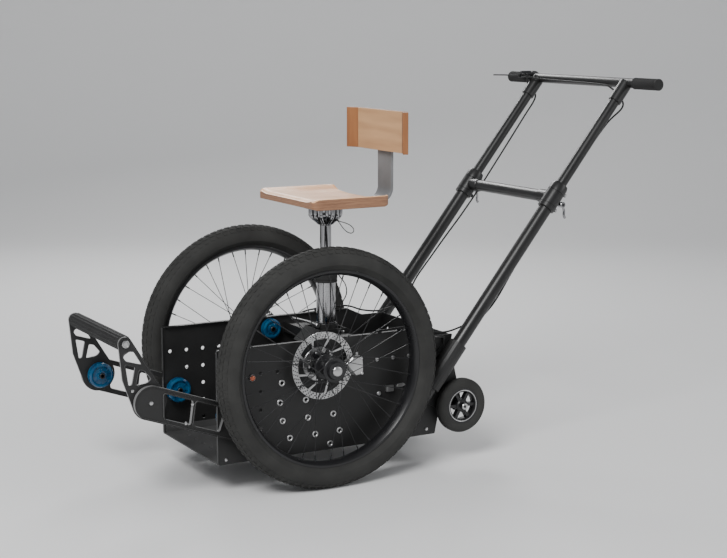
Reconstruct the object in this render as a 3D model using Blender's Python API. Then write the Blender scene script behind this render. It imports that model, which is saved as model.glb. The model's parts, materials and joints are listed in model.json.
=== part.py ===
"""Two-wheeled seat cart: a perforated sheet tray slung between two large spoked wheels, a swivel
seat on a telescopic column, a telescopic push handle, anti-tip wheels and a folding footrest.

Metres. +X is forward, +Y is the rider's left, +Z is up, and z = 0 is the ground. The origin is
the centre of the bounding box's bottom face. Everything hangs on the empty "cart", which stands
on the ground under the wheel axles, so x in the sizes below is counted from the axles.
"""
from math import cos, sin, tan, pi, tau, radians, sqrt

import bmesh
import bpy
from mathutils import Vector

for old in list(bpy.data.objects):
    bpy.data.objects.remove(old)

# ---------------------------------------------------------------- driving dimensions
GAP = 0.0003                    # air left between pieces that touch on the real cart
LEFT, RIGHT = 1, -1             # the rider's left is +Y

WHEEL_Y = 0.253                 # wheel centre plane, from the middle of the cart
AXLE_Z = 0.320                  # axle height, and so the wheel's outer radius
TYRE_SECTION = 0.036            # radius of the tyre's round section
TYRE_WALL = 0.0055
RIM_OUTER, RIM_INNER, RIM_HALF = 0.2608, 0.2460, 0.0215
SPOKES = 36
WHEEL_STEPS = 44                # facets round the tyre and rim
SPOKE_RADIUS = 0.0011
FLANGE_Y = (0.232, 0.280)       # the hub's two spoke flanges
FLANGE_RADIUS = 0.033
AXLE_RADIUS = 0.010
ROTOR_Y, ROTOR_RADIUS, ROTOR_HALF = 0.215, 0.090, 0.001

SHEET = 0.003                   # folded steel sheet
PANEL_Y = 0.1866                # outer face of the side panels
TRAY_FRONT, TRAY_BOTTOM, TRAY_TOP = 0.290, 0.082, 0.383
TRAY_REAR_LOW, TRAY_REAR_HIGH = -0.365, -0.420
TRAY_REAR_TOP = 0.359

NOSE = (0.475, 0.272)           # x, z of the pivot in the front arms' noses
NOSE_RADIUS = 0.044
ARM_SLOPE = 19.5                # degrees, down to the rear
ARM_TURN = radians(ARM_SLOPE)
ARM_REAR = 0.228
ARM_Y = (PANEL_Y + GAP, 0.199)
FOOT_TOP = (0.536, 0.427)       # x, z of the footrest roller
FOOT_ROLLER_RADIUS = 0.0205
FOOT_PLATE_Y = (0.1800, 0.1860)

GUIDE_RADIUS, GUIDE_WIDTH = 0.034, 0.024
GUIDE_Y = 0.166
GUIDE_LOW = (0.250, 0.205)      # x, z of the guide roller inside the tray's front
GUIDE_HIGH = (-0.036, 0.350)    # and of the one near the panel's top edge
STUD_RADIUS = 0.005

HANDLE_Y = 0.213
HANDLE_LEAN = 0.8               # metres back for each metre up
HANDLE_X_AT_HALF = -0.555       # x of the tube's axis at z = 0.5
LOWER_TUBE, LOWER_BORE, UPPER_TUBE = 0.019, 0.0163, 0.0150
BAR_Z, BAR_RADIUS, BAR_HALF = 1.036, 0.014, 0.351
GRIP_RADIUS, LEVER_RING = 0.0165, 0.0210
BRIDGE_Z = 0.722
HOSE_RADIUS = 0.0025

REAR_WHEEL = (-0.434, 0.160)    # x, z of the anti-tip wheels
REAR_WHEEL_Y, REAR_WHEEL_RADIUS, REAR_WHEEL_HALF = 0.2105, 0.076, 0.016

POST_X = -0.124                 # the seat column's axis
COLUMN_RADIUS, COLUMN_BORE, POST_RADIUS = 0.0265, 0.0163, 0.0155
SEAT_TOP, SEAT_THICK = 0.752, 0.030
SEAT_DEPTH, SEAT_WIDTH = 0.228, 0.338
SEAT_FORWARD = 0.008            # the board's middle, ahead of the column
BACK_BAR_WIDTH, BACK_BAR_THICK = 0.074, 0.008
BACK_BAR_X = -0.310             # front face of the back bar's upright
BACK_LOW, BACK_HIGH, BACK_THICK = 0.857, 0.970, 0.015
BACK_FLAT, BACK_WING, BACK_TURN = 0.1245, 0.037, radians(30)    # half the flat, and its bent ends


def handle_point(z, off=0.0):
    """x and z on a handle tube's axis, moved off it by off, to its rear and underside."""
    length = sqrt(1 + HANDLE_LEAN ** 2)
    x = HANDLE_X_AT_HALF - HANDLE_LEAN * (z - 0.5)
    return x - off / length, z - off * HANDLE_LEAN / length


BAR_X = handle_point(BAR_Z)[0]
FRONT_REACH = FOOT_TOP[0] + FOOT_ROLLER_RADIUS
REAR_REACH = -BAR_X + LEVER_RING
AXLE_X = (REAR_REACH - FRONT_REACH) / 2     # puts the origin under the middle of the length

cart = bpy.data.objects.new("cart", None)
cart.location = (AXLE_X, 0, 0)
bpy.context.scene.collection.objects.link(cart)


# ---------------------------------------------------------------- materials
def material(name, color, roughness, metallic=0.0):
    made = bpy.data.materials.new(name)
    made.use_nodes = True
    shader = made.node_tree.nodes["Principled BSDF"]
    shader.inputs["Base Color"].default_value = (*color, 1)
    shader.inputs["Roughness"].default_value = roughness
    shader.inputs["Metallic"].default_value = metallic
    return made


BLACK_COAT = material("black powder coat", (0.018, 0.018, 0.020), 0.5)
TUBE_COAT = material("black tube coat", (0.025, 0.025, 0.027), 0.35)
TYRE = material("tyre rubber", (0.020, 0.020, 0.021), 0.8)
RIM_BLACK = material("black anodised rim", (0.012, 0.012, 0.014), 0.35, 0.6)
HUB_BLACK = material("black hub", (0.015, 0.015, 0.017), 0.4, 0.6)
STEEL = material("bare steel", (0.55, 0.55, 0.56), 0.3, 1.0)
ALUMINIUM = material("cast aluminium", (0.62, 0.62, 0.63), 0.4, 1.0)
CHROME = material("chrome", (0.80, 0.80, 0.82), 0.08, 1.0)
BLUE = material("blue polyurethane", (0.02, 0.22, 0.42), 0.25)
WOOD = material("pale wood", (0.72, 0.50, 0.32), 0.5)
GREY = material("grey paint", (0.28, 0.28, 0.29), 0.45, 0.3)
GRIP = material("black grip rubber", (0.012, 0.012, 0.012), 0.85)
HOSE = material("black hose", (0.010, 0.010, 0.010), 0.5)


# ---------------------------------------------------------------- mesh helpers
def part(name, mesh, finish, origin=(0, 0, 0), smooth=True):
    """Close the bmesh into a named object on the cart, with its origin on its joint's axis."""
    bmesh.ops.recalc_face_normals(mesh, faces=mesh.faces)
    bmesh.ops.translate(mesh, verts=mesh.verts, vec=-Vector(origin))
    data = bpy.data.meshes.new(name)
    mesh.to_mesh(data)
    mesh.free()
    if smooth:
        data.shade_smooth()
        data.set_sharp_from_angle(angle=radians(35))
    data.materials.append(finish)
    made = bpy.data.objects.new(name, data)
    made.location = origin
    made.parent = cart
    bpy.context.scene.collection.objects.link(made)
    return made


def combine(target, mesh, operation):
    """Join a helper shape to the target, or cut it out, with a Boolean modifier."""
    step = f"{target.name}_{operation.lower()}_{len(target.modifiers)}"
    helper = part(step, mesh, target.data.materials[0])
    helper.hide_render = True
    helper.display_type = 'WIRE'
    boolean = target.modifiers.new(step, 'BOOLEAN')
    boolean.operation = operation
    boolean.object = helper
    return target


def ring_faces(mesh, rings, closed_path):
    """Skin neighbouring rings of vertices; a ring of one vertex is a pole."""
    pairs = list(zip(rings, rings[1:]))
    if closed_path:
        pairs.append((rings[-1], rings[0]))
    for low, high in pairs:
        count = max(len(low), len(high))
        if count == 1:
            continue
        for i in range(count):
            j = (i + 1) % count
            corners = [low[i % len(low)], low[j % len(low)], high[j % len(high)], high[i % len(high)]]
            mesh.faces.new(list(dict.fromkeys(corners)))


def turned(profile, centre, axis='Y', steps=24, closed=False, mesh=None):
    """Turn (radius, height) points round an axis through centre; closed joins last to first."""
    mesh = mesh or bmesh.new()
    rings = []
    for radius, height in profile:
        count = steps if radius > 1e-6 else 1
        ring = []
        for i in range(count):
            a, b = radius * cos(tau * i / steps), radius * sin(tau * i / steps)
            offset = (a, height, b) if axis == 'Y' else (a, b, height)
            ring.append(mesh.verts.new(Vector(centre) + Vector(offset)))
        rings.append(ring)
    ring_faces(mesh, rings, closed)
    return mesh


def rod(start, end, radius, steps=12, bore=0.0, mesh=None):
    """A round bar from start to end, or a pipe when it has a bore."""
    mesh = mesh or bmesh.new()
    start, end = Vector(start), Vector(end)
    turn = (end - start).to_track_quat('Z', 'Y')
    length = (end - start).length
    outline = [(radius, 0), (radius, length)]
    outline = outline + [(bore, length), (bore, 0)] if bore else [(0, 0)] + outline + [(0, length)]
    rings = []
    for r, height in outline:
        count = steps if r > 1e-6 else 1
        ring = [start + turn @ Vector((r * cos(tau * i / steps), r * sin(tau * i / steps), height))
                for i in range(count)]
        rings.append([mesh.verts.new(point) for point in ring])
    ring_faces(mesh, rings, bool(bore))
    return mesh


def block(low, high, mesh=None):
    """An upright box between two corners."""
    mesh = mesh or bmesh.new()
    low, high = Vector(low), Vector(high)
    made = bmesh.ops.create_cube(mesh, size=1.0)["verts"]
    for vert in made:
        vert.co = Vector(((low[i] + high[i]) / 2 + vert.co[i] * abs(high[i] - low[i]) for i in range(3)))
    return mesh


def plate(outline, depth, holes=(), plane='XZ', mesh=None):
    """Extrude an outline with holes, drawn in one plane, between two depths across it."""
    mesh = mesh or bmesh.new()
    across = 'XYZ'.index(({'X', 'Y', 'Z'} - set(plane)).pop())
    edges = []
    for loop in [outline, *holes]:
        verts = []
        for point in loop:
            place = list(point)
            place.insert(across, depth[0])
            verts.append(mesh.verts.new(place))
        edges += [mesh.edges.new((a, b)) for a, b in zip(verts, verts[1:] + verts[:1])]
    filled = bmesh.ops.triangle_fill(mesh, edges=edges, use_beauty=True)
    faces = [item for item in filled["geom"] if isinstance(item, bmesh.types.BMFace)]
    grown = bmesh.ops.extrude_face_region(mesh, geom=faces)["geom"]
    move = [0, 0, 0]
    move[across] = depth[1] - depth[0]
    moved = [item for item in grown if isinstance(item, bmesh.types.BMVert)]
    bmesh.ops.translate(mesh, verts=moved, vec=move)
    return mesh


def arc(centre, radius, start, end, steps):
    """Points on an arc, angles in degrees from +X towards +Z."""
    angles = [radians(start + (end - start) * i / steps) for i in range(steps + 1)]
    return [(centre[0] + radius * cos(a), centre[1] + radius * sin(a)) for a in angles]


def circle(centre, radius, steps=12):
    return arc(centre, radius, 0, 360 - 360 / steps, steps - 1)


def smooth_path(points, count):
    """Catmull-Rom curve through the points, sampled at count points."""
    points = [Vector(p) for p in points]
    ends = [points[0] * 2 - points[1], *points, points[-1] * 2 - points[-2]]
    out = []
    for k in range(count):
        at = (len(points) - 1) * k / (count - 1)
        i = min(int(at), len(points) - 2)
        t = at - i
        a, b, c, d = ends[i:i + 4]
        out.append(0.5 * (2 * b + (c - a) * t + (2 * a - 5 * b + 4 * c - d) * t ** 2
                          + (3 * b - a - 3 * c + d) * t ** 3))
    return out


# ---------------------------------------------------------------- the tray
def side_panel(side, name):
    """Side sheet of the tray, with a welded stud for each guide roller inside it."""
    outline = [(TRAY_FRONT, TRAY_BOTTOM), (TRAY_FRONT, TRAY_TOP), (-0.290, TRAY_TOP),
               (-0.342, TRAY_REAR_TOP), (TRAY_REAR_HIGH, TRAY_REAR_TOP), (TRAY_REAR_LOW, TRAY_BOTTOM)]
    mesh = plate(outline, (side * (PANEL_Y - SHEET), side * PANEL_Y))
    panel = part(name, mesh, BLACK_COAT, smooth=False)
    studs = bmesh.new()
    tip = GUIDE_Y - GUIDE_WIDTH / 2 - 0.004
    for x, z in (GUIDE_LOW, GUIDE_HIGH):
        rod((x, side * (PANEL_Y - SHEET / 2), z), (x, side * tip, z), STUD_RADIUS, mesh=studs)
    combine(panel, studs, 'UNION')


def tray():
    inner = PANEL_Y - SHEET - GAP
    lip = TRAY_BOTTOM + 0.022
    step = TRAY_BOTTOM + SHEET
    outline = [(-inner, TRAY_BOTTOM), (inner, TRAY_BOTTOM), (inner, lip), (inner - SHEET, lip),
               (inner - SHEET, step), (SHEET - inner, step), (SHEET - inner, lip), (-inner, lip)]
    part("tray_floor", plate(outline, (TRAY_REAR_LOW, TRAY_FRONT), plane='YZ'), BLACK_COAT, smooth=False)
    low, high = TRAY_BOTTOM + 0.028, TRAY_REAR_TOP - 0.002
    lean = (TRAY_REAR_HIGH - TRAY_REAR_LOW) / (TRAY_REAR_TOP - TRAY_BOTTOM)
    x_low = TRAY_REAR_LOW + lean * (low - TRAY_BOTTOM) + 0.002
    x_high = TRAY_REAR_LOW + lean * (high - TRAY_BOTTOM) + 0.002
    wall = [(x_low, low), (x_high, high), (x_high + SHEET, high), (x_low + SHEET, low)]
    part("rear_wall", plate(wall, (-inner, inner)), BLACK_COAT, smooth=False)
    side_panel(LEFT, "left_side_panel")
    side_panel(RIGHT, "right_side_panel")


# ---------------------------------------------------------------- the large wheels
def tyre(side, name):
    """An open C section: the crown's outer arc, the bead, and the inner arc back."""
    crown = AXLE_Z - TYRE_SECTION
    bead = RIM_OUTER + GAP
    outer = arc((crown, 0), TYRE_SECTION, -122, 122, 9)
    inner = arc((crown, 0), TYRE_SECTION - TYRE_WALL, 112, -112, 4)
    profile = [*outer, (bead, 0.0195), (bead, 0.0140), *inner, (bead, -0.0140), (bead, -0.0195)]
    centre = (0, side * WHEEL_Y, AXLE_Z)
    part(name, turned(profile, centre, steps=WHEEL_STEPS, closed=True), TYRE, centre)


def rim(side, name):
    profile = [(RIM_OUTER, -RIM_HALF), (RIM_OUTER, RIM_HALF), (0.2565, RIM_HALF), (0.2480, 0.011),
               (RIM_INNER, 0.006), (RIM_INNER, -0.006), (0.2480, -0.011), (0.2565, -RIM_HALF)]
    centre = (0, side * WHEEL_Y, AXLE_Z)
    part(name, turned(profile, centre, steps=WHEEL_STEPS, closed=True), RIM_BLACK, centre)


def hub(side, name):
    """Hub shell with its two flanges; the spokes lean one way from each flange."""
    nose, shoulder = ROTOR_Y - 0.0025, ROTOR_Y + ROTOR_HALF + GAP
    bore = AXLE_RADIUS + 0.0002
    near, far = FLANGE_Y
    profile = [(bore, nose), (0.0180, nose), (0.0180, shoulder), (0.0290, shoulder), (0.0290, 0.222),
               (0.0210, 0.226), (FLANGE_RADIUS, near - 0.002), (FLANGE_RADIUS, near + 0.002),
               (0.0210, near + 0.006), (0.0210, far - 0.006), (FLANGE_RADIUS, far - 0.002),
               (FLANGE_RADIUS, far + 0.002), (0.0240, far + 0.005), (0.0240, 0.2915), (bore, 0.2915)]
    profile = [(r, side * (y - WHEEL_Y)) for r, y in profile]
    centre = (0, side * WHEEL_Y, AXLE_Z)
    made = part(name, turned(profile, centre, steps=24, closed=True), HUB_BLACK, centre)
    spokes = bmesh.new()
    reach = RIM_INNER * cos(pi / WHEEL_STEPS) - 0.0012
    for i in range(SPOKES):
        outer_flange = i % 2
        lean = radians(48 if outer_flange else -48)
        at_rim = tau * i / SPOKES
        at_hub = at_rim + lean
        root = FLANGE_RADIUS - 0.004
        start = Vector((root * cos(at_hub), side * FLANGE_Y[outer_flange], AXLE_Z + root * sin(at_hub)))
        y = side * (WHEEL_Y + (0.004 if outer_flange else -0.004))
        end = Vector((reach * cos(at_rim), y, AXLE_Z + reach * sin(at_rim)))
        rod(start, end, SPOKE_RADIUS, steps=4, mesh=spokes)
    combine(made, spokes, 'UNION')


def rotor(side, name):
    """Brake disc: an outer track on six swept arms, round a small carrier."""
    arms, inner, outer = 6, 0.038, 0.0735
    windows = []
    for k in range(arms):
        first = 360 * k / arms
        sweep = 26
        near_arc = arc((0, 0), inner, first + 7, first + 53, 3)
        far_arc = arc((0, 0), outer, first + sweep + 56, first + sweep + 4, 5)
        windows.append([(x, AXLE_Z + z) for x, z in near_arc + far_arc])
    outline = circle((0, AXLE_Z), ROTOR_RADIUS, 48)
    holes = [circle((0, AXLE_Z), 0.0184, 16), *windows]
    faces = (side * (ROTOR_Y - ROTOR_HALF), side * (ROTOR_Y + ROTOR_HALF))
    part(name, plate(outline, faces, holes), STEEL, (0, side * ROTOR_Y, AXLE_Z), smooth=False)


def axle(side, name):
    """Cantilever axle: a flange bolted to the panel, the shaft and its end bolt."""
    profile = [(0, PANEL_Y + GAP), (0.046, PANEL_Y + GAP), (0.046, 0.1930), (0.0155, 0.1960),
               (0.0155, ROTOR_Y - 0.0030), (AXLE_RADIUS, ROTOR_Y - 0.0030), (AXLE_RADIUS, 0.2920),
               (0.0135, 0.2920), (0.0135, 0.2990), (0.0110, 0.3010), (0, 0.3010)]
    profile = [(r, side * y) for r, y in profile]
    part(name, turned(profile, (0, 0, AXLE_Z), steps=24), STEEL, (0, side * WHEEL_Y, AXLE_Z))


def caliper(side, name):
    """Brake caliper behind the disc, slotted for it, on a foot against the panel."""
    low, high = (-0.117, side * 0.2000, 0.282), (-0.064, side * 0.2310, 0.336)
    made = part(name, block(low, high), ALUMINIUM, (-0.090, side * ROTOR_Y, 0.308), smooth=False)
    foot = block((-0.115, side * (PANEL_Y + GAP), 0.292), (-0.096, side * 0.2010, 0.330))
    combine(made, foot, 'UNION')
    slot = block((-0.094, side * (ROTOR_Y - 0.0026), 0.270), (-0.060, side * (ROTOR_Y + 0.0026), 0.346))
    combine(made, slot, 'DIFFERENCE')


# ---------------------------------------------------------------- front arms, rollers, footrest
def along_arm(distance, offset):
    """A point back from the nose along the arm, and off its centre line."""
    x = NOSE[0] - distance * cos(ARM_TURN) - offset * sin(ARM_TURN)
    return x, NOSE[1] - distance * sin(ARM_TURN) + offset * cos(ARM_TURN)


def arm(side, name):
    """Side arm: a round nose, two rails with a strut between, and the stud the footrest turns on."""
    length = (NOSE[0] - ARM_REAR) / cos(ARM_TURN)
    rail = 0.013
    nose = arc(NOSE, NOSE_RADIUS, ARM_SLOPE - 90, ARM_SLOPE + 90, 10)
    outline = [*nose, along_arm(length, NOSE_RADIUS), along_arm(length, -NOSE_RADIUS)]
    half = NOSE_RADIUS - rail
    front = [along_arm(0.026, half), along_arm(0.110, half), along_arm(0.122, -half), along_arm(0.048, -half)]
    rear = [along_arm(0.118, half), along_arm(0.206, half), along_arm(0.206, -half), along_arm(0.130, -half)]
    made = part(name, plate(outline, (side * ARM_Y[0], side * ARM_Y[1]), [front, rear]), BLACK_COAT,
                smooth=False)
    tip = GUIDE_Y - GUIDE_WIDTH / 2 - 0.004
    stud = rod((NOSE[0], side * (ARM_Y[0] + 0.004), NOSE[1]), (NOSE[0], side * tip, NOSE[1]), STUD_RADIUS)
    combine(made, stud, 'UNION')


def guide_roller(side, name, place, radius):
    """Blue roller on a stud."""
    half = GUIDE_WIDTH / 2
    bore = STUD_RADIUS + 0.0003
    profile = [(bore, -half), (radius - 0.005, -half), (radius, -half + 0.005), (radius, half - 0.005),
               (radius - 0.005, half), (bore, half)]
    centre = (place[0], side * GUIDE_Y, place[1])
    part(name, turned(profile, centre, steps=20, closed=True), BLUE, centre)


def foot_plate(side, name):
    """Footrest side plate: a tapered link from the nose pivot up to the roller, with one window."""
    centre_line = Vector((FOOT_TOP[0] - NOSE[0], FOOT_TOP[1] - NOSE[1]))
    lean = 180 / pi * angle_from_x(centre_line)
    head, lobe = 0.018, 0.046
    taper = 180 / pi * (lobe - head) / centre_line.length
    outline = arc(FOOT_TOP, head, lean - 90 + taper, lean + 90 - taper, 8)
    outline += arc(NOSE, lobe, lean + 90 - taper, lean + 270 + taper, 14)
    outline.append((0.5450, 0.3350))
    window = [(0.536, 0.398), (0.530, 0.405), (0.515, 0.404), (0.492, 0.369), (0.466, 0.337), (0.466, 0.328),
              (0.482, 0.3215), (0.505, 0.315), (0.528, 0.320)]
    holes = [window, circle(NOSE, STUD_RADIUS + 0.0003, 10), circle(FOOT_TOP, 0.0063, 10)]
    faces = (side * FOOT_PLATE_Y[0], side * FOOT_PLATE_Y[1])
    part(name, plate(outline, faces, holes), BLACK_COAT, (NOSE[0], 0, NOSE[1]), smooth=False)


def angle_from_x(vector):
    """Angle of a 2D vector from +X, in radians."""
    return Vector((1, 0)).angle_signed(vector) * -1


def footrest():
    foot_plate(LEFT, "left_footrest_plate")
    foot_plate(RIGHT, "right_footrest_plate")
    x, z = FOOT_TOP
    outer = FOOT_PLATE_Y[1] + GAP
    head = outer + 0.006
    profile = [(0, -head), (0.010, -head), (0.010, -outer), (0.0060, -outer), (0.0060, outer),
               (0.010, outer), (0.010, head), (0, head)]
    part("footrest_axle", turned(profile, (x, 0, z), steps=12), STEEL, (x, 0, z))
    half = FOOT_PLATE_Y[0] - GAP - 0.002
    profile = [(0.0064, -half), (0.0185, -half), (FOOT_ROLLER_RADIUS, 0.003 - half),
               (FOOT_ROLLER_RADIUS, half - 0.003), (0.0185, half), (0.0064, half)]
    part("footrest_roller", turned(profile, (x, 0, z), steps=24, closed=True), GRIP, (x, 0, z))


# ---------------------------------------------------------------- handle and anti-tip wheels
def on_tube(side, z, off=0.0, inward=0.0):
    x, height = handle_point(z, off)
    return x, side * (HANDLE_Y - inward), height


def handle_socket(side, name):
    """Bracket behind the tray: a plate on the panel, the sleeve for the tube, the wheel's axle."""
    inner, outer = PANEL_Y + GAP, PANEL_Y + 0.0053
    outline = [(-0.322, 0.182), (-0.322, 0.262), (-0.395, 0.345), (-0.425, 0.345), (-0.425, 0.262),
               (-0.446, 0.176), *arc(REAR_WHEEL, 0.020, 150, 330, 6), (-0.372, 0.150)]
    made = part(name, plate(outline, (side * inner, side * outer)), BLACK_COAT, smooth=False)
    sleeve = rod(on_tube(side, 0.222), on_tube(side, 0.335), 0.0255, steps=20, bore=LOWER_TUBE + GAP)
    combine(made, sleeve, 'UNION')
    x, z = REAR_WHEEL
    stub = turned([(0, side * (inner + 0.001)), (0.006, side * (inner + 0.001)), (0.006, side * 0.2280),
                   (0.0095, side * 0.2280), (0.0095, side * 0.2330), (0, side * 0.2330)], (x, 0, z), steps=12)
    combine(made, stub, 'UNION')


def rear_wheel(side):
    """Anti-tip wheel: a solid tyre round a six-spoke core."""
    prefix = "left" if side > 0 else "right"
    centre = (REAR_WHEEL[0], side * REAR_WHEEL_Y, REAR_WHEEL[1])
    half, inner, outer = REAR_WHEEL_HALF, 0.0500, REAR_WHEEL_RADIUS
    profile = [(inner, -half + 0.003), (0.062, -half), (outer - 0.006, -half + 0.003), (outer, -half + 0.010),
               (outer, half - 0.010), (outer - 0.006, half - 0.003), (0.062, half), (inner, half - 0.003)]
    part(prefix + "_rear_tyre", turned(profile, centre, steps=24, closed=True), TYRE, centre)
    windows = []
    for k in range(6):
        turn = 60 * k
        slot = arc((0, 0), 0.0175, turn + 12, turn + 48, 2) + arc((0, 0), 0.0400, turn + 54, turn + 6, 4)
        windows.append([(centre[0] + u, centre[2] + v) for u, v in slot])
    spot = (centre[0], centre[2])
    outline, bore = circle(spot, inner * cos(pi / 24) - GAP, 24), circle(spot, 0.0063, 12)
    faces = (centre[1] - side * 0.0125, centre[1] + side * 0.0125)
    part(prefix + "_rear_wheel_core", plate(outline, faces, [bore, *windows]), HUB_BLACK, centre, smooth=False)


def handle():
    for side, prefix in ((LEFT, "left"), (RIGHT, "right")):
        low = rod(on_tube(side, 0.188), on_tube(side, 0.738), LOWER_TUBE, steps=20, bore=LOWER_BORE)
        part(prefix + "_lower_tube", low, TUBE_COAT)
        high = rod(on_tube(side, 0.470), on_tube(side, BAR_Z - 0.014), UPPER_TUBE, steps=20)
        part(prefix + "_upper_tube", high, TUBE_COAT, on_tube(side, BAR_Z))
        grip = rod((BAR_X, side * 0.254, BAR_Z), (BAR_X, side * (BAR_HALF + 0.006), BAR_Z), GRIP_RADIUS,
                   steps=20)
        cut = rod((BAR_X, side * 0.240, BAR_Z), (BAR_X, side * (BAR_HALF + GAP), BAR_Z), BAR_RADIUS + GAP,
                  steps=20)
        combine(part(prefix + "_grip", grip, GRIP, (BAR_X, 0, BAR_Z)), cut, 'DIFFERENCE')
    bridge = rod((handle_point(BRIDGE_Z)[0], -HANDLE_Y, BRIDGE_Z), (handle_point(BRIDGE_Z)[0], HANDLE_Y, BRIDGE_Z),
                 0.0190, steps=20)
    made = part("handle_bridge", bridge, TUBE_COAT)
    collars, bores = bmesh.new(), bmesh.new()
    for side in (LEFT, RIGHT):
        rod(on_tube(side, BRIDGE_Z - 0.030), on_tube(side, BRIDGE_Z + 0.034), 0.0255, steps=20, mesh=collars)
        rod(on_tube(side, BRIDGE_Z - 0.050), on_tube(side, BRIDGE_Z + 0.0165), LOWER_TUBE + GAP, steps=20,
            mesh=bores)
        rod(on_tube(side, BRIDGE_Z + 0.0150), on_tube(side, BRIDGE_Z + 0.050), UPPER_TUBE + 0.0010, steps=20,
            mesh=bores)
    combine(made, collars, 'UNION')
    combine(made, bores, 'DIFFERENCE')


def handlebar():
    """Top bar with a welded sleeve for each upper tube."""
    bar = rod((BAR_X, -BAR_HALF, BAR_Z), (BAR_X, BAR_HALF, BAR_Z), BAR_RADIUS, steps=20)
    made = part("handlebar", bar, TUBE_COAT, (BAR_X, 0, BAR_Z))
    sleeves, bores = bmesh.new(), bmesh.new()
    for side in (LEFT, RIGHT):
        rod(on_tube(side, BAR_Z - 0.052), on_tube(side, BAR_Z), 0.0190, steps=20, mesh=sleeves)
        rod(on_tube(side, BAR_Z - 0.070), on_tube(side, BAR_Z - 0.0135), UPPER_TUBE + GAP, steps=20, mesh=bores)
    combine(made, sleeves, 'UNION')
    combine(made, bores, 'DIFFERENCE')


def clamp_lever(side, name):
    """Quick-release lever behind the bridge's collar, hanging down beside the tube."""
    pivot = Vector(on_tube(side, BRIDGE_Z, 0.0345)) + Vector((0, side * 0.006, 0))
    barrel = rod(pivot - Vector((0, 0.009, 0)), pivot + Vector((0, 0.009, 0)), 0.0085, steps=12)
    made = part(name, barrel, STEEL, pivot)
    tip = pivot + Vector((-0.008, side * 0.003, -0.036))
    combine(made, rod(pivot, tip, 0.0042, steps=8), 'UNION')


def brake_lever():
    """Hydraulic lever by the right grip: the clamped body, and the blade in front of the bar."""
    inner, outer = -0.2335, -0.2485
    ring = rod((BAR_X, outer, BAR_Z), (BAR_X, inner, BAR_Z), LEVER_RING, steps=20)
    body = part("brake_lever_body", ring, HUB_BLACK, (BAR_X, 0, BAR_Z))
    tank = rod((BAR_X + 0.010, -0.241, BAR_Z + 0.012), (BAR_X + 0.050, -0.248, BAR_Z + 0.012), 0.0100, steps=12)
    combine(body, tank, 'UNION')
    bore = rod((BAR_X, -0.270, BAR_Z), (BAR_X, -0.210, BAR_Z), BAR_RADIUS + GAP, steps=20)
    combine(body, bore, 'DIFFERENCE')
    slot = block((BAR_X + 0.040, -0.275, BAR_Z + 0.0045), (BAR_X + 0.070, -0.236, BAR_Z + 0.0095))
    combine(body, slot, 'DIFFERENCE')
    pivot = (BAR_X + 0.046, -0.250, BAR_Z + 0.007)
    outline = [(0.041, -0.243), (0.052, -0.241), (0.057, -0.270), (0.057, -0.300), (0.067, -0.319),
               (0.087, -0.336), (0.082, -0.343), (0.058, -0.327), (0.047, -0.304), (0.048, -0.270)]
    outline = [(BAR_X + x, y) for x, y in outline]
    blade = plate(outline, (BAR_Z + 0.0050, BAR_Z + 0.0090), plane='XY')
    part("brake_lever", blade, STEEL, pivot, smooth=False)


def brake_hose(side, name):
    """Hose from the lever body down behind its handle tube, along the panel's edge, to the caliper."""
    if side == RIGHT:
        start = [(0.032, -0.2332, 0.0120), (0.032, -0.2275, 0.0105), (0.030, -0.2275, 0.0000),
                 (0.022, -0.2385, -0.018), (0.000, -0.2345, -0.042), (0.010, -0.2190, -0.066)]
    else:
        start = [(0.044, -0.2350, 0.0120), (0.044, -0.2285, 0.0110), (0.041, -0.2200, 0.0060),
                 (0.031, -0.1950, 0.0010), (0.020, -0.1300, -0.002), (0.019, 0.0000, -0.004),
                 (0.019, 0.1300, -0.007), (0.019, 0.1650, -0.014), (0.010, 0.1850, -0.030),
                 (-0.002, 0.1930, -0.048), (0.008, 0.2060, -0.072)]
    start = [(BAR_X + x, y, BAR_Z + z) for x, y, z in start]
    along = [(0.940, 0.026, 0.010), (0.870, 0.025, 0.016), (0.800, 0.026, 0.018), (0.722, 0.026, 0.021),
             (0.650, 0.026, 0.018), (0.590, 0.025, 0.012), (0.530, 0.025, 0.006), (0.460, 0.026, 0.000)]
    along = [on_tube(side, *point) for point in along]
    end = [(-0.508, 0.1960, 0.3980), (-0.472, 0.1855, 0.3820), (-0.405, 0.1840, 0.3655),
           (-0.345, 0.1840, 0.3720), (-0.290, 0.1840, 0.3895), (-0.215, 0.1845, 0.3900),
           (-0.160, 0.1920, 0.3850), (-0.123, 0.2020, 0.3660), (-0.106, 0.2060, 0.3460),
           (-0.106, 0.2060, 0.3370)]
    end = [(x, side * y, z) for x, y, z in end]
    points = smooth_path(start + along + end, 64)
    data = bpy.data.curves.new(name, 'CURVE')
    data.dimensions = '3D'
    data.bevel_depth = HOSE_RADIUS
    data.bevel_resolution = 2
    data.use_fill_caps = True
    spline = data.splines.new('POLY')
    spline.points.add(len(points) - 1)
    for slot, point in zip(spline.points, points):
        slot.co = (*point, 1)
    data.materials.append(HOSE)
    made = bpy.data.objects.new(name, data)
    made.parent = cart
    bpy.context.scene.collection.objects.link(made)


# ---------------------------------------------------------------- the seat
def seat_base():
    """Cross member between the panels, with sloping gussets round the column."""
    inner = PANEL_Y - SHEET - GAP
    beam = block((POST_X - 0.040, -inner, 0.333), (POST_X + 0.040, inner, 0.362))
    made = part("seat_base", beam, BLACK_COAT, smooth=False)
    outline = [(POST_X - 0.105, 0.340), (POST_X - 0.040, 0.3760), (POST_X + 0.040, 0.3760),
               (POST_X + 0.080, 0.340)]
    combine(made, plate(outline, (-0.045, 0.045)), 'UNION')
    hole = rod((POST_X, 0, 0.320), (POST_X, 0, 0.390), COLUMN_RADIUS + GAP, steps=24)
    combine(made, hole, 'DIFFERENCE')


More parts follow.
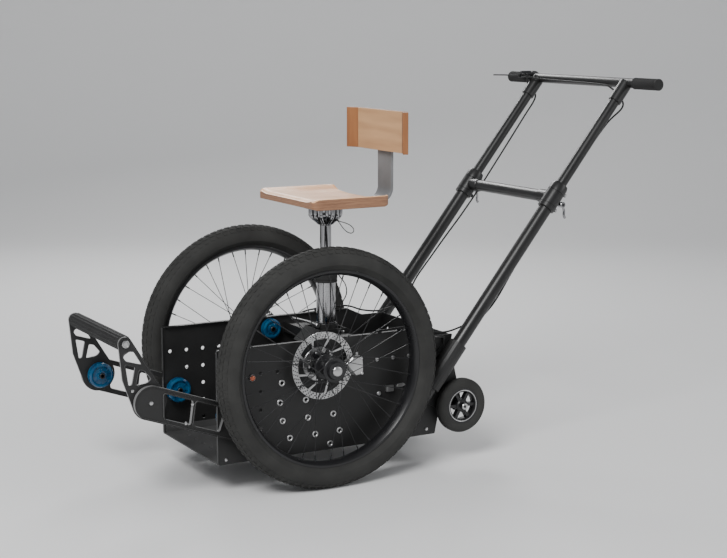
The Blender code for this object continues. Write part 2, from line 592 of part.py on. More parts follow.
def seat_column():
    z_low, z_high = 0.215, 0.506
    profile = [(0, z_low), (COLUMN_RADIUS, z_low), (COLUMN_RADIUS, z_high), (COLUMN_BORE, z_high),
               (COLUMN_BORE, z_low + 0.006), (0, z_low + 0.006)]
    axis = (POST_X, 0, 0)
    part("seat_column", turned(profile, axis, 'Z'), CHROME, axis)
    low, high = z_high - 0.004, 0.531
    profile = [(COLUMN_RADIUS + GAP, low), (0.0320, low), (0.0330, high - 0.004), (0.0300, high),
               (COLUMN_BORE, high), (COLUMN_BORE, z_high + GAP), (COLUMN_RADIUS + GAP, z_high + GAP)]
    part("column_collar", turned(profile, axis, 'Z', closed=True), GRIP, axis)
    pivot = Vector((POST_X + 0.034, 0.010, 0.3835))
    lever = rod(pivot + Vector((0, -0.008, 0)), pivot + Vector((0, 0.008, 0)), 0.0060, steps=12)
    made = part("column_lever", lever, STEEL, pivot)
    combine(made, rod(pivot, pivot + Vector((0.080, 0.009, 0.031)), 0.0042, steps=8), 'UNION')
    profile = [(0, 0.365), (POST_RADIUS, 0.365), (POST_RADIUS, 0.6590), (0, 0.6590)]
    part("seat_post", turned(profile, axis, 'Z'), CHROME, axis)


def seat():
    axis = (POST_X, 0, 0)
    top = SEAT_TOP - SEAT_THICK - 0.010
    profile = [(0, 0.6593), (0.0200, 0.6593), (0.0210, 0.6640), (0.0420, 0.6800), (0.0480, 0.6860),
               (0.0480, top - 0.004), (0.0620, top - 0.004), (0.0620, top), (0, top)]
    part("seat_hub", turned(profile, axis, 'Z'), CHROME, axis)
    root, tip = Vector((POST_X - 0.0085, 0.0455, 0.6790)), Vector((POST_X - 0.0537, 0.0600, 0.6433))
    part("lift_lever", rod(root, tip, 0.0030, steps=8), STEEL, root)
    grid_x, grid_y = 6, 8
    low = SEAT_TOP - SEAT_THICK
    board = bmesh.new()
    sheets = []
    for level in ('top', 'bottom'):
        rows = []
        for i in range(grid_x + 1):
            x = POST_X + SEAT_FORWARD + SEAT_DEPTH * (0.5 - i / grid_x)
            row = []
            for j in range(grid_y + 1):
                y = SEAT_WIDTH * (j / grid_y - 0.5)
                z = seat_height(i / grid_x, 2 * j / grid_y - 1) if level == 'top' else low
                row.append(board.verts.new((x, y, z)))
            rows.append(row)
        sheets.append(rows)
        for i in range(grid_x):
            for j in range(grid_y):
                board.faces.new((rows[i][j], rows[i + 1][j], rows[i + 1][j + 1], rows[i][j + 1]))
    upper, lower = ([r[0] for r in s] + s[-1][1:] + [r[-1] for r in s[-2::-1]] + s[0][-2:0:-1] for s in sheets)
    for k in range(len(upper)):
        m = (k + 1) % len(upper)
        board.faces.new((upper[k], upper[m], lower[m], lower[k]))
    part("seat_board", board, WOOD, axis)


def seat_height(back, across):
    """Top of the board: a hollow that opens to the rear between two raised side edges."""
    edge = min(1.0, (1 - abs(across)) / 0.24)
    hollow = edge * edge * (3 - 2 * edge)
    return SEAT_TOP - 0.013 * hollow * min(1.0, 0.25 + back * 1.2)


def backrest():
    """Flat bar bent up behind the seat, and the board bolted to its upright."""
    axis = (POST_X, 0, 0)
    bar_top = SEAT_TOP - SEAT_THICK - GAP
    bend, thick = 0.034, BACK_BAR_THICK
    centre = (BACK_BAR_X + bend, bar_top + bend)
    corner_in = arc(centre, bend, 270, 180, 5)
    corner_out = arc(centre, bend + thick, 180, 270, 5)
    high = 0.955
    outline = [(POST_X + 0.080, bar_top), *corner_in, (BACK_BAR_X, high), (BACK_BAR_X - thick, high),
               *corner_out, (POST_X + 0.080, bar_top - thick)]
    half = BACK_BAR_WIDTH / 2
    part("back_bar", plate(outline, (-half, half)), GREY, axis, smooth=False)
    rear, front = BACK_BAR_X + GAP, BACK_BAR_X + GAP + BACK_THICK
    tip = Vector((front + BACK_WING * sin(BACK_TURN), BACK_FLAT + BACK_WING * cos(BACK_TURN)))
    back_tip = tip + BACK_THICK * Vector((-cos(BACK_TURN), sin(BACK_TURN)))
    half = [(front, BACK_FLAT), tuple(tip), tuple(back_tip), (rear, BACK_FLAT + BACK_THICK * tan(BACK_TURN / 2))]
    outline = half + [(x, -y) for x, y in reversed(half)]
    part("backrest", plate(outline, (BACK_LOW, BACK_HIGH), plane='XY'), WOOD, axis, smooth=False)


# ---------------------------------------------------------------- the cart
tray()
for hand, word in ((LEFT, "left"), (RIGHT, "right")):
    axle(hand, word + "_axle")
    tyre(hand, word + "_tyre")
    rim(hand, word + "_rim")
    hub(hand, word + "_hub")
    rotor(hand, word + "_rotor")
    caliper(hand, word + "_caliper")
    arm(hand, word + "_arm")
    guide_roller(hand, word + "_nose_roller", NOSE, GUIDE_RADIUS)
    guide_roller(hand, word + "_low_roller", GUIDE_LOW, GUIDE_RADIUS)
    guide_roller(hand, word + "_high_roller", GUIDE_HIGH, 0.028)
    handle_socket(hand, word + "_handle_socket")
    rear_wheel(hand)
    clamp_lever(hand, word + "_clamp_lever")
    brake_hose(hand, word + "_brake_hose")
footrest()
handle()
handlebar()
brake_lever()
seat_base()
seat_column()
seat()
backrest()
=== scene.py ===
# %% [markdown]
# # A push seat cart, from its frame to its finishes
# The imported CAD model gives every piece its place. This script dresses it: fine meshes that take
# the place of plain CAD solids, and a procedural finish for every surface. Lengths are in metres.

# %% Load the frame
import json
from math import cos, sin, tan, pi, tau, radians, sqrt

import bmesh
import bpy
from mathutils import Vector, Matrix, Quaternion


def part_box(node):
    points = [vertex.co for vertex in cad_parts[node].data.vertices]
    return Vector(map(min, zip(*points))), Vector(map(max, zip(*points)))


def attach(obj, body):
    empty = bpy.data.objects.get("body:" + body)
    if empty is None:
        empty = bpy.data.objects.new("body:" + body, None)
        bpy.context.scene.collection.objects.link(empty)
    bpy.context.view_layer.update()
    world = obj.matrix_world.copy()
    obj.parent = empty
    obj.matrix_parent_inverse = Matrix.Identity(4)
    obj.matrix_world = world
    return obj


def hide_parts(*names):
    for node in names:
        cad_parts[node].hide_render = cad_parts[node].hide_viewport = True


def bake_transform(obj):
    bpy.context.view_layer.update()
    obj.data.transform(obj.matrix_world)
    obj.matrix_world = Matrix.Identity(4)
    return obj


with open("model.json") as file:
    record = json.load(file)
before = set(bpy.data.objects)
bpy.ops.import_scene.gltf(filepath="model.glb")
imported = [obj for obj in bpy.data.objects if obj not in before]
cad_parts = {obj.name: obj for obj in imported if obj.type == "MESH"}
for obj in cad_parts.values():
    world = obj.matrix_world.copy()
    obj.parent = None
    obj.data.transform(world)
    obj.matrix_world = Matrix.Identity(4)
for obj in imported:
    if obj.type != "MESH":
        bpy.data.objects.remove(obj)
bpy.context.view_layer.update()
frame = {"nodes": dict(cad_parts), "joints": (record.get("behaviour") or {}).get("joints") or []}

joints = {joint["name"]: joint for joint in frame["joints"]}

# %% [markdown]
# ## Places
# The cart is easiest to think about from its wheel axles, so `at` takes a place measured from
# there: x forward, y to the rider's left, z up from the ground. The axles' x and height come from
# the wheel joint, and other places come from joints and from the boxes of the CAD nodes.

# %% Places and sides
AXLE = Vector(joints["left_wheel_spin"]["pos_m"])
SIDES = {"left": 1, "right": -1}
OFF_PANEL = 0.1869                                  # inner face of the parts that are bolted to the side panels


def at(x, y, z):
    """A place measured from the wheel axles, in the frame."""
    return Vector((AXLE.x + x, y, z))


def joint_at(name):
    return Vector(joints[name]["pos_m"])


def placed(points):
    """Outline points (x, z) measured from the axles."""
    return [(AXLE.x + x, z) for x, z in points]


def spots(places, y):
    return [at(x, y, z) for x, z in places]


print("axle at", tuple(round(v, 4) for v in AXLE))

# %% [markdown]
# ## Floor, light and camera
# A sheet of pale paper curves up behind the cart, so the horizon doesn't show. One large soft
# light from the upper left does most of the work, and two weak ones lift the dark sides. The lens
# is long, as in a studio, so the two wheels stay nearly the same size.

# %% The studio
FLAT_END, BEND, SWEEP_STEPS = 4.2, 1.6, 10           # where the paper starts to rise, and its curve's radius


def paper_sweep():
    """A floor that curves up into a wall behind the cart, across the camera's view."""
    mesh = bmesh.new()
    outline = [(-9.0, 0.0), (FLAT_END, 0.0)]
    for i in range(1, SWEEP_STEPS + 1):
        a = pi / 2 * i / SWEEP_STEPS
        outline.append((FLAT_END + BEND * sin(a), BEND - BEND * cos(a)))
    outline.append((FLAT_END + BEND, 7.0))
    rows = [[mesh.verts.new((side, depth, height)) for side in (-12, 12)] for depth, height in outline]
    for low, high in zip(rows, rows[1:]):
        mesh.faces.new((low[0], low[1], high[1], high[0]))
    mesh.transform(Matrix.Rotation(pi - radians(29.4), 4, 'Z'))
    data = bpy.data.meshes.new("paper")
    mesh.to_mesh(data)
    mesh.free()
    data.shade_smooth()
    paper = bpy.data.objects.new("paper", data)
    bpy.context.scene.collection.objects.link(paper)


def area_light(name, place, target, size, power):
    light = bpy.data.lights.new(name, 'AREA')
    light.shape = 'DISK'
    light.size = size
    light.energy = power
    lamp = bpy.data.objects.new(name, light)
    lamp.location = place
    lamp.rotation_euler = (Vector(target) - Vector(place)).to_track_quat('-Z', 'Y').to_euler()
    bpy.context.scene.collection.objects.link(lamp)


paper_sweep()
area_light("key", (3.0, 2.6, 3.8), (0, 0, 0.4), 2.2, 235)
area_light("fill", (-3.6, 3.4, 2.0), (0, 0, 0.5), 2.5, 45)
area_light("rim_light", (-1.0, -3.4, 3.0), (0, 0, 0.6), 1.8, 90)

sky = bpy.data.worlds.new("sky")
bpy.context.scene.world = sky
sky.use_nodes = True
background = sky.node_tree.nodes["Background"]
background.inputs["Color"].default_value = (0.95, 0.97, 1.0, 1)
background.inputs["Strength"].default_value = 0.38

LENS, SENSOR = 78.33, 36.0
YAW, DIP = radians(29.429), radians(9.459)          # the camera's heading past -Y, and its dip
look = Vector((-sin(YAW) * cos(DIP), -cos(YAW) * cos(DIP), -sin(DIP)))
camera = bpy.data.objects.new("camera", bpy.data.cameras.new("camera"))
camera.data.lens = LENS
camera.data.sensor_width = SENSOR
camera.location = at(1.9005, 3.8007, 1.226)
camera.rotation_euler = look.to_track_quat('-Z', 'Y').to_euler()
bpy.context.scene.collection.objects.link(camera)
bpy.context.scene.camera = camera
print("camera", tuple(round(v, 3) for v in camera.location))

# %% [markdown]
# ## Node trees as expressions
# A `Value` wraps a socket and overloads the arithmetic operators, so `1 - mask * 0.3` adds Math
# nodes. `Tree.node` adds every other node: its type, its settings, and its sockets' values or
# links. The same class builds shaders and Geometry Nodes, because both are node trees.

# %% Values and trees
class Value:
    """One output socket, with arithmetic."""

    def __init__(self, tree, socket):
        self.tree, self.socket = tree, socket

    def maths(self, operation, *values):
        return self.tree.node('ShaderNodeMath', {"operation": operation}, dict(enumerate(values)))

    def __add__(self, other):
        return self.maths('ADD', self, other)

    def __sub__(self, other):
        return self.maths('SUBTRACT', self, other)

    def __rsub__(self, other):
        return self.maths('SUBTRACT', other, self)

    def __mul__(self, other):
        return self.maths('MULTIPLY', self, other)

    def __truediv__(self, other):
        return self.maths('DIVIDE', self, other)

    __radd__, __rmul__ = __add__, __mul__


class Tree:
    """A node tree that is filled through one method."""

    def __init__(self, tree):
        self.tree = tree

    def node(self, kind, settings=None, sockets=None, output=0):
        made = self.tree.nodes.new(kind)
        for key, setting in (settings or {}).items():
            if key == "stops":
                ramp = made.color_ramp.elements
                while len(ramp) < len(setting):
                    ramp.new(0.5)
                for stop, (place, color) in zip(ramp, setting):
                    stop.position = place
                    stop.color = (*color, 1)
            else:
                setattr(made, key, setting)
        for key, value in (sockets or {}).items():
            if isinstance(value, Value):
                self.tree.links.new(value.socket, made.inputs[key])
            else:
                made.inputs[key].default_value = value
        return Value(self, made.outputs[output]) if made.outputs else made


class Finish(Tree):
    """A material with one Principled shader. Constants go on its sockets, patterns are linked to them."""

    def __init__(self, name, color, roughness, metallic=0.0, **constants):
        self.material = bpy.data.materials.new(name)
        self.material.use_nodes = True
        super().__init__(self.material.node_tree)
        self.shader = self.tree.nodes["Principled BSDF"]
        self.set("Base Color", (*color, 1))
        self.set("Roughness", roughness)
        self.set("Metallic", metallic)
        for key, value in constants.items():
            self.set(key.replace("_", " ").title().replace("Ior", "IOR"), value)
        self.place = self.node('ShaderNodeTexCoord', output=3)

    def set(self, socket, value):
        if isinstance(value, Value):
            self.tree.links.new(value.socket, self.shader.inputs[socket])
        else:
            self.shader.inputs[socket].default_value = value

    def noise(self, scale, detail=3.0, stretch=(1, 1, 1)):
        """Noise between 0 and 1 at so many lumps a metre, stretched along an axis."""
        place = self.node('ShaderNodeMapping', {}, {"Vector": self.place, "Scale": stretch})
        return self.node('ShaderNodeTexNoise', {}, {"Vector": place, "Scale": scale, "Detail": detail})

    def ramp(self, factor, *stops):
        return self.node('ShaderNodeValToRGB', {"stops": stops}, {0: factor})

    def bump(self, height, strength, distance):
        self.set("Normal", self.node('ShaderNodeBump', {}, {"Height": height, "Strength": strength,
                                                           "Distance": distance}))


# %% [markdown]
# ## Finishes
# Powder coat is an even satin black with the fine pebbling of melted powder. The tubes' coat is
# smoother, the tray's floor is lightened to grey as painted light for the light it catches, and the
# cut plates' edges get a lighter grey as a painted highlight. The chrome is darkened as a painted
# reflection of dark surroundings, with a faint haze, and cast aluminium has a fine grain. Colours are linear values.

# %% Metals and coats
def coat(name, color, roughness, pebble, size):
    """Paint or powder on metal: dust varies its gloss, and pebbling gives it tooth."""
    made = Finish(name, color, roughness)
    dust = made.noise(9, 4)
    tint = made.ramp(dust, (0.25, [c * 0.75 for c in color]), (0.75, [c * 1.35 for c in color]))
    made.set("Base Color", tint)
    made.set("Roughness", dust * 0.18 + (roughness - 0.09))
    made.bump(made.noise(size, 2), pebble, 0.0004)
    return made.material


def bare_metal(name, color, roughness, grain, stretch=(1, 1, 1)):
    """Bare metal: fine grain in its gloss and its surface."""
    made = Finish(name, color, roughness, 1.0)
    lines = made.noise(420, 3, stretch)
    made.set("Roughness", lines * (roughness * 0.5) + roughness * 0.75)
    made.set("Base Color", made.ramp(made.noise(14, 3), (0.2, [c * 0.85 for c in color]), (0.8, color)))
    made.bump(lines, grain, 0.0002)
    return made.material


black_coat = coat("black powder coat", (0.011, 0.011, 0.011), 0.5, 0.2, 900)
# the floor coat's lighter grey is painted light: it stands in for the light that the tray's floor catches
painted_light_floor_coat = coat("scuffed floor coat", (0.055, 0.055, 0.055), 0.62, 0.25, 500)
# lighter grey for the plates' edge faces: a painted highlight where the key light catches the edges
painted_highlight_edge = coat("rubbed edge", (0.17, 0.17, 0.17), 0.36, 0.1, 500)
tube_coat = coat("black tube coat", (0.009, 0.009, 0.009), 0.36, 0.08, 700)
black_hub = coat("black hub finish", (0.009, 0.009, 0.01), 0.38, 0.05, 600)
black_rim = coat("black rim finish", (0.009, 0.009, 0.01), 0.3, 0.05, 600)
grey_paint = coat("grey bar paint", (0.155, 0.158, 0.163), 0.42, 0.1, 700)
steel = bare_metal("bare steel", (0.56, 0.56, 0.56), 0.3, 0.15, (1, 0.1, 1))
aluminium = bare_metal("cast aluminium", (0.6, 0.6, 0.6), 0.4, 0.35)
# the chrome's lowered colour is a painted reflection: it stands in for dark surroundings mirrored in it
painted_reflection_chrome = bare_metal("dark chrome", (0.4, 0.4, 0.41), 0.14, 0.02)

# %% [markdown]
# Rubber scatters light widely, so its roughness is high, and dust makes it patchy. The guide
# rollers are cast polyurethane: deep blue, glossy, and a little clear. The amber reflectors have
# small cells behind their lens.

# %% Rubber, polyurethane and reflector
def rubber(name, color, roughness, grain):
    made = Finish(name, color, roughness, specular_ior_level=0.35)
    dust = made.noise(16, 5)
    made.set("Base Color", made.ramp(dust, (0.3, color), (0.75, [c * 1.9 for c in color])))
    made.set("Roughness", dust * 0.16 + (roughness - 0.08))
    made.bump(made.noise(650, 3), grain, 0.0005)
    return made.material


def polyurethane():
    made = Finish("blue polyurethane", (0.005, 0.1, 0.22), 0.2, transmission_weight=0.2, ior=1.5)
    cloud = made.noise(55, 4)
    made.set("Base Color", made.ramp(cloud, (0.3, (0.001, 0.045, 0.125)), (0.7, (0.002, 0.105, 0.225))))
    made.set("Roughness", cloud * 0.15 + 0.12)
    return made.material


tyre_rubber = rubber("tyre rubber", (0.019, 0.019, 0.018), 0.8, 0.3)
grip_rubber = rubber("grip rubber", (0.012, 0.012, 0.012), 0.72, 0.2)
hose_rubber = rubber("hose rubber", (0.01, 0.01, 0.01), 0.5, 0.08)
blue_roller = polyurethane()


def amber():
    """Amber reflector: the cells behind the lens show as a fine bright pattern."""
    made = Finish("amber reflector", (0.55, 0.07, 0.01), 0.15, coat_weight=0.6, coat_roughness=0.05)
    cells = made.node('ShaderNodeTexVoronoi', {"feature": 'F1'}, {"Vector": made.place, "Scale": 480.0})
    made.set("Base Color", made.ramp(cells, (0.0, (0.95, 0.3, 0.1)), (0.7, (0.42, 0.035, 0.006))))
    made.set("Roughness", cells * 0.2 + 0.12)
    made.bump(cells, 0.3, 0.0005)
    return made.material


amber_lens = amber()

# %% [markdown]
# The seat and the backrest are bent plywood with a pale face veneer. Its grain is noise stretched
# along the board, turned into lines by a ramp. Cut edges are darker, and the backrest's bent ends get a darker brown
# that is painted shade.

# %% Wood
def wood(name, light, dark, scale, stretch):
    made = Finish(name, light, 0.42, coat_weight=0.15, coat_roughness=0.3)
    wander = made.noise(6, 2, stretch)
    fibre = made.noise(scale, 6, stretch)
    grain = made.node('ShaderNodeTexWave', {"wave_type": 'BANDS', "bands_direction": 'Z'},
                      {"Vector": made.node('ShaderNodeMapping', {}, {"Vector": made.place, "Scale": stretch}),
                       "Scale": 9.0, "Distortion": 9.0, "Detail": 3.0, "Detail Scale": 1.5}, output=1)
    mixed = fibre * 0.55 + grain * 0.25 + wander * 0.2
    middle = [(a + b) / 2 for a, b in zip(light, dark)]
    made.set("Base Color", made.ramp(mixed, (0.22, dark), (0.42, middle), (0.68, light)))
    made.set("Roughness", fibre * 0.2 + 0.34)
    made.bump(fibre, 0.12, 0.0004)
    return made.material


face_veneer = wood("face veneer", (0.62, 0.37, 0.185), (0.46, 0.25, 0.115), 90, (1.0, 0.1, 0.8))
seat_veneer = wood("seat veneer", (0.95, 0.55, 0.29), (0.72, 0.35, 0.165), 90, (0.1, 1.0, 1.0))
edge_wood = wood("ply edge", (0.36, 0.185, 0.1), (0.15, 0.065, 0.032), 110, (0.5, 0.5, 7.0))
# darker brown for the backrest's cut top and bottom edges, and painted shade on its bent ends
edge_and_painted_shade_wood = wood("bent end", (0.35, 0.145, 0.05), (0.22, 0.08, 0.026), 110, (1.0, 1.0, 0.12))
print("finishes:", len(bpy.data.materials))

# %% [markdown]
# ## Repeating with Geometry Nodes
# Three trees do the repeating. `ring` turns copies of a mesh round an axis: spokes, tread, flutes.
# `scatter` puts one item on every vertex of a mesh of loose points: bolts and washers.
# `perforate` cuts a round hole through a sheet at every such vertex.

# %% Building the three trees
def new_tree(name, inputs):
    """An empty Geometry Nodes tree with named inputs, and the Value of each."""
    group = bpy.data.node_groups.new(name, 'GeometryNodeTree')
    group.interface.new_socket("Geometry", in_out='INPUT', socket_type='NodeSocketGeometry')
    for label, kind in inputs.items():
        group.interface.new_socket(label, in_out='INPUT', socket_type='NodeSocket' + kind)
    group.interface.new_socket("Geometry", in_out='OUTPUT', socket_type='NodeSocketGeometry')
    tree = Tree(group)
    entry = group.nodes.new('NodeGroupInput')
    values = {socket.name: Value(tree, socket) for socket in entry.outputs if socket.name}
    return tree, values


def close_tree(tree, geometry, material):
    """Every tree ends in real geometry with its material."""
    real = tree.node('GeometryNodeRealizeInstances', {}, {0: geometry})
    done = tree.node('GeometryNodeSetMaterial', {}, {"Geometry": real, "Material": material})
    tree.node('NodeGroupOutput', {}, {0: done})
    return tree.tree


def ring_tree():
    tree, given = new_tree("ring", {"Count": 'Int', "Centre": 'Vector', "Axis": 'Vector', "Material": 'Material'})
    one = tree.node('GeometryNodeGeometryToInstance', {}, {0: given["Geometry"]})
    copies = tree.node('GeometryNodeDuplicateElements', {"domain": 'INSTANCE'},
                       {"Geometry": one, "Amount": given["Count"]})
    number = Value(tree, copies.socket.node.outputs["Duplicate Index"])
    angle = number * tau / given["Count"]
    turn = tree.node('ShaderNodeVectorMath', {"operation": 'SCALE'}, {0: given["Axis"], "Scale": angle})
    turned = tree.node('GeometryNodeRotateInstances', {},
                       {"Instances": copies, "Rotation": turn, "Pivot Point": given["Centre"], "Local Space": False})
    return close_tree(tree, turned, given["Material"])


def shape_of(tree, thing):
    """The mesh of an object that is given to a tree."""
    return tree.node('GeometryNodeObjectInfo', {"transform_space": 'ORIGINAL'}, {0: thing}, output="Geometry")


def copies_on(tree, points, item):
    return tree.node('GeometryNodeInstanceOnPoints', {}, {"Points": points, "Instance": item})


def scatter_tree():
    tree, given = new_tree("scatter", {"Item": 'Object', "Material": 'Material'})
    copies = copies_on(tree, given["Geometry"], shape_of(tree, given["Item"]))
    return close_tree(tree, copies, given["Material"])


def perforate_tree():
    tree, given = new_tree("perforate", {"Places": 'Object', "Punch": 'Object', "Material": 'Material'})
    pins = copies_on(tree, shape_of(tree, given["Places"]), shape_of(tree, given["Punch"]))
    pins = tree.node('GeometryNodeRealizeInstances', {}, {0: pins})
    cut = tree.node('GeometryNodeMeshBoolean', {"operation": 'DIFFERENCE', "solver": 'EXACT'},
                    {"Mesh 1": given["Geometry"], "Mesh 2": pins})
    return close_tree(tree, cut, given["Material"])


TREES = {"ring": ring_tree(), "scatter": scatter_tree(), "perforate": perforate_tree()}
print("trees:", ", ".join(TREES))

# %% [markdown]
# ## From mesh to piece
# `piece` turns a bmesh into a finished object: it sets normals, shading and finish, adds a small
# bevel where one is asked for, makes it ride on its body and hides the CAD nodes it stands for.
# `grown` runs a mesh through one of the trees first, and bakes the result to a plain mesh.

# %% Pieces
def to_data(name, mesh, fix=True):
    if fix:
        bmesh.ops.recalc_face_normals(mesh, faces=mesh.faces)
    data = bpy.data.meshes.new(name)
    mesh.to_mesh(data)
    mesh.free()
    return data


def finish_piece(name, data, finishes, body, stands_for=(), bevel=0.0, angle=32):
    """Shade a mesh, give it its finishes in slot order, and hang it on its body."""
    if data.polygons:
        data.shade_smooth()
        data.set_sharp_from_angle(angle=radians(angle))
    if data.materials:
        data.materials.clear()
    for material in finishes:
        data.materials.append(material)
    made = bpy.data.objects.new(name, data)
    bpy.context.scene.collection.objects.link(made)
    if bevel:
        edge = made.modifiers.new("edge", 'BEVEL')
        edge.width = bevel
        edge.segments = 2
        edge.limit_method = 'ANGLE'
        edge.angle_limit = radians(40)
        edge.harden_normals = True
    if body:
        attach(made, body)
    if stands_for:
        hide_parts(*stands_for)
    return made


def piece(name, mesh, finish, body, stands_for=(), bevel=0.0, angle=32):
    return finish_piece(name, to_data(name, mesh), [finish], body, stands_for, bevel, angle)


def grown(tree, name, mesh, inputs, finish, fix=True):
    """Run a mesh through a tree and return the plain mesh it makes."""
    source = bpy.data.objects.new(name + "_source", to_data(name, mesh, fix))
    bpy.context.scene.collection.objects.link(source)
    modifier = source.modifiers.new(tree, 'NODES')
    modifier.node_group = TREES[tree]
    for socket in TREES[tree].interface.items_tree:
        if socket.in_out == 'INPUT' and socket.name in inputs:
            modifier[socket.identifier] = inputs[socket.name]
        elif socket.in_out == 'INPUT' and socket.name == "Material":
            modifier[socket.identifier] = finish
    bpy.context.view_layer.update()
    evaluated = source.evaluated_get(bpy.context.evaluated_depsgraph_get())
    data = bpy.data.meshes.new_from_object(evaluated)
    bpy.data.objects.remove(source)
    data.name = name
    return data


def ringed(name, mesh, count, centre, axis, finish, body, stands_for=(), bevel=0.0, angle=32):
    """Copies of a mesh turned round an axis, as one piece."""
    inputs = {"Count": count, "Centre": tuple(centre), "Axis": tuple(axis)}
    data = grown("ring", name, mesh, inputs, finish)
    return finish_piece(name, data, [finish], body, stands_for, bevel, angle)


def hidden_item(name, mesh):
    """An object for a tree to read, off the scene."""
    return bpy.data.objects.new(name, to_data(name, mesh))


def points_mesh(points):
    mesh = bmesh.new()
    for point in points:
        mesh.verts.new(point)
    return mesh


def scattered(name, item, points, finish, body, angle=32):
    """The item at every point, as one piece."""
    helper = hidden_item(name + "_item", item)
    data = grown("scatter", name, points_mesh(points), {"Item": helper}, finish, fix=False)
    bpy.data.objects.remove(helper)
    return finish_piece(name, data, [finish], body, angle=angle)


def perforated(name, sheet, pin, points, finish, body, stands_for=(), angle=32):
    """A sheet with the pin's shape cut through it at every point, as one piece."""
    places = hidden_item(name + "_places", points_mesh(points))
    tool = hidden_item(name + "_punch", pin)
    data = grown("perforate", name, sheet, {"Places": places, "Punch": tool}, finish)
    bpy.data.objects.remove(places)
    bpy.data.objects.remove(tool)
    return finish_piece(name, data, [finish], body, stands_for, angle=angle)


# %% [markdown]
# ## Shapes
# Most of the cart is turned, round or cut from sheet, so four helpers draw nearly all of it:
# `turned` spins a profile, `rod` runs a round bar between two places, `plate` cuts an outline with
# holes, and `tube_along` sweeps a round section along a path.

# %% Shape helpers
def skin(mesh, rings, closed):
    """Faces between neighbouring rings of vertices; a ring of one vertex is a pole."""
    pairs = list(zip(rings, rings[1:]))
    if closed:
        pairs.append((rings[-1], rings[0]))
    for low, high in pairs:
        for i in range(max(len(low), len(high))):
            j = (i + 1) % max(len(low), len(high))
            corners = [low[i % len(low)], low[j % len(low)], high[j % len(high)], high[i % len(high)]]
            corners = list(dict.fromkeys(corners))
            if len(corners) > 2:
                mesh.faces.new(corners)


def turned(profile, centre, axis='Y', steps=48, closed=False, mesh=None, turn=None):
    """Spin (radius, height) points round an axis through centre."""
    mesh = mesh or bmesh.new()
    rings = []
    for radius, height in profile:
        ring = []
        for i in range(steps if radius > 1e-6 else 1):
            a, b = radius * cos(tau * i / steps), radius * sin(tau * i / steps)
            offset = Vector((a, height, b) if axis == 'Y' else (a, b, height))
            ring.append(mesh.verts.new(Vector(centre) + (turn @ offset if turn else offset)))
        rings.append(ring)
    skin(mesh, rings, closed)
    return mesh


def flipped(profile, side):
    """A (radius, height) profile for the cart's left side, or turned over for its right side."""
    return [(radius, side * height) for radius, height in profile]


def both_ends(half):
    """A profile that is the same at both ends, from its half with positive heights."""
    return flipped(reversed(half), -1) + half


def rod(start, end, radius, steps=24, bore=0.0, chamfer=0.0, mesh=None):
    """A round bar, or a pipe when it has a bore, with chamfered ends."""
    length = (Vector(end) - Vector(start)).length
    turn = (Vector(end) - Vector(start)).to_track_quat('Z', 'Y')
    outer = [(radius - chamfer, 0), (radius, chamfer), (radius, length - chamfer), (radius - chamfer, length)]
    if not chamfer:
        outer = [(radius, 0), (radius, length)]
    profile = [*outer, (bore, length), (bore, 0)] if bore else [(0, 0), *outer, (0, length)]
    return turned(profile, start, 'Z', steps, bool(bore), mesh, turn)


def barrel(centre, reach, radius, steps, chamfer, mesh=None):
    """A round bar across the cart that reaches equally far to both sides of its centre."""
    across = Vector((0, reach, 0))
    return rod(centre - across, centre + across, radius, steps, chamfer=chamfer, mesh=mesh)


def block(low, high, mesh=None):
    mesh = mesh or bmesh.new()
    for vert in bmesh.ops.create_cube(mesh, size=1.0)["verts"]:
        vert.co = Vector((low[i] + (high[i] - low[i]) * (vert.co[i] + 0.5) for i in range(3)))
    return mesh


def arc(centre, radius, start, end, steps):
    """Points on an arc, angles in degrees."""
    angles = [radians(start + (end - start) * i / steps) for i in range(steps + 1)]
    return [(centre[0] + radius * cos(a), centre[1] + radius * sin(a)) for a in angles]


def circle(centre, radius, steps=32):
    return arc(centre, radius, 0, 360 - 360 / steps, steps - 1)


def rounded(corners, radius, steps=4):
    """A closed outline with its corners rounded."""
    points = []
    for i, corner in enumerate(corners):
        here = Vector(corner)
        before, after = Vector(corners[i - 1]) - here, Vector(corners[(i + 1) % len(corners)]) - here
        reach = min(radius, before.length * 0.45, after.length * 0.45)
        start, end = here + before.normalized() * reach, here + after.normalized() * reach
        for k in range(steps + 1):
            t = k / steps
            points.append(tuple(start * (1 - t) ** 2 + here * 2 * t * (1 - t) + end * t ** 2))
    return points


def plate(outline, depth, holes=(), plane='XZ', mesh=None):
    """Extrude an outline with holes, drawn in one plane, between two depths across it."""
    mesh = mesh or bmesh.new()
    for face in mesh.faces:
        face.tag = True
    across = 'XYZ'.index(({'X', 'Y', 'Z'} - set(plane)).pop())
    edges = []
    for loop in [outline, *holes]:
        verts = []
        for point in loop:
            place = list(point)
            place.insert(across, depth[0])
            verts.append(mesh.verts.new(place))
        edges += [mesh.edges.new((a, b)) for a, b in zip(verts, verts[1:] + verts[:1])]
    filled = bmesh.ops.triangle_fill(mesh, edges=edges, use_beauty=True)
    faces = [item for item in filled["geom"] if isinstance(item, bmesh.types.BMFace)]
    inner = list(dict.fromkeys(edge for face in faces for edge in face.edges))
    bmesh.ops.dissolve_limit(mesh, angle_limit=0.01, verts=[], edges=inner)
    faces = [face for face in mesh.faces if not face.tag and
             all(abs(v.co[across] - depth[0]) < 1e-5 for v in face.verts)]
    grown_part = bmesh.ops.extrude_face_region(mesh, geom=faces)["geom"]
    move = [0, 0, 0]
    move[across] = depth[1] - depth[0]
    moved = [item for item in grown_part if isinstance(item, bmesh.types.BMVert)]
    bmesh.ops.translate(mesh, verts=moved, vec=move)
    return mesh


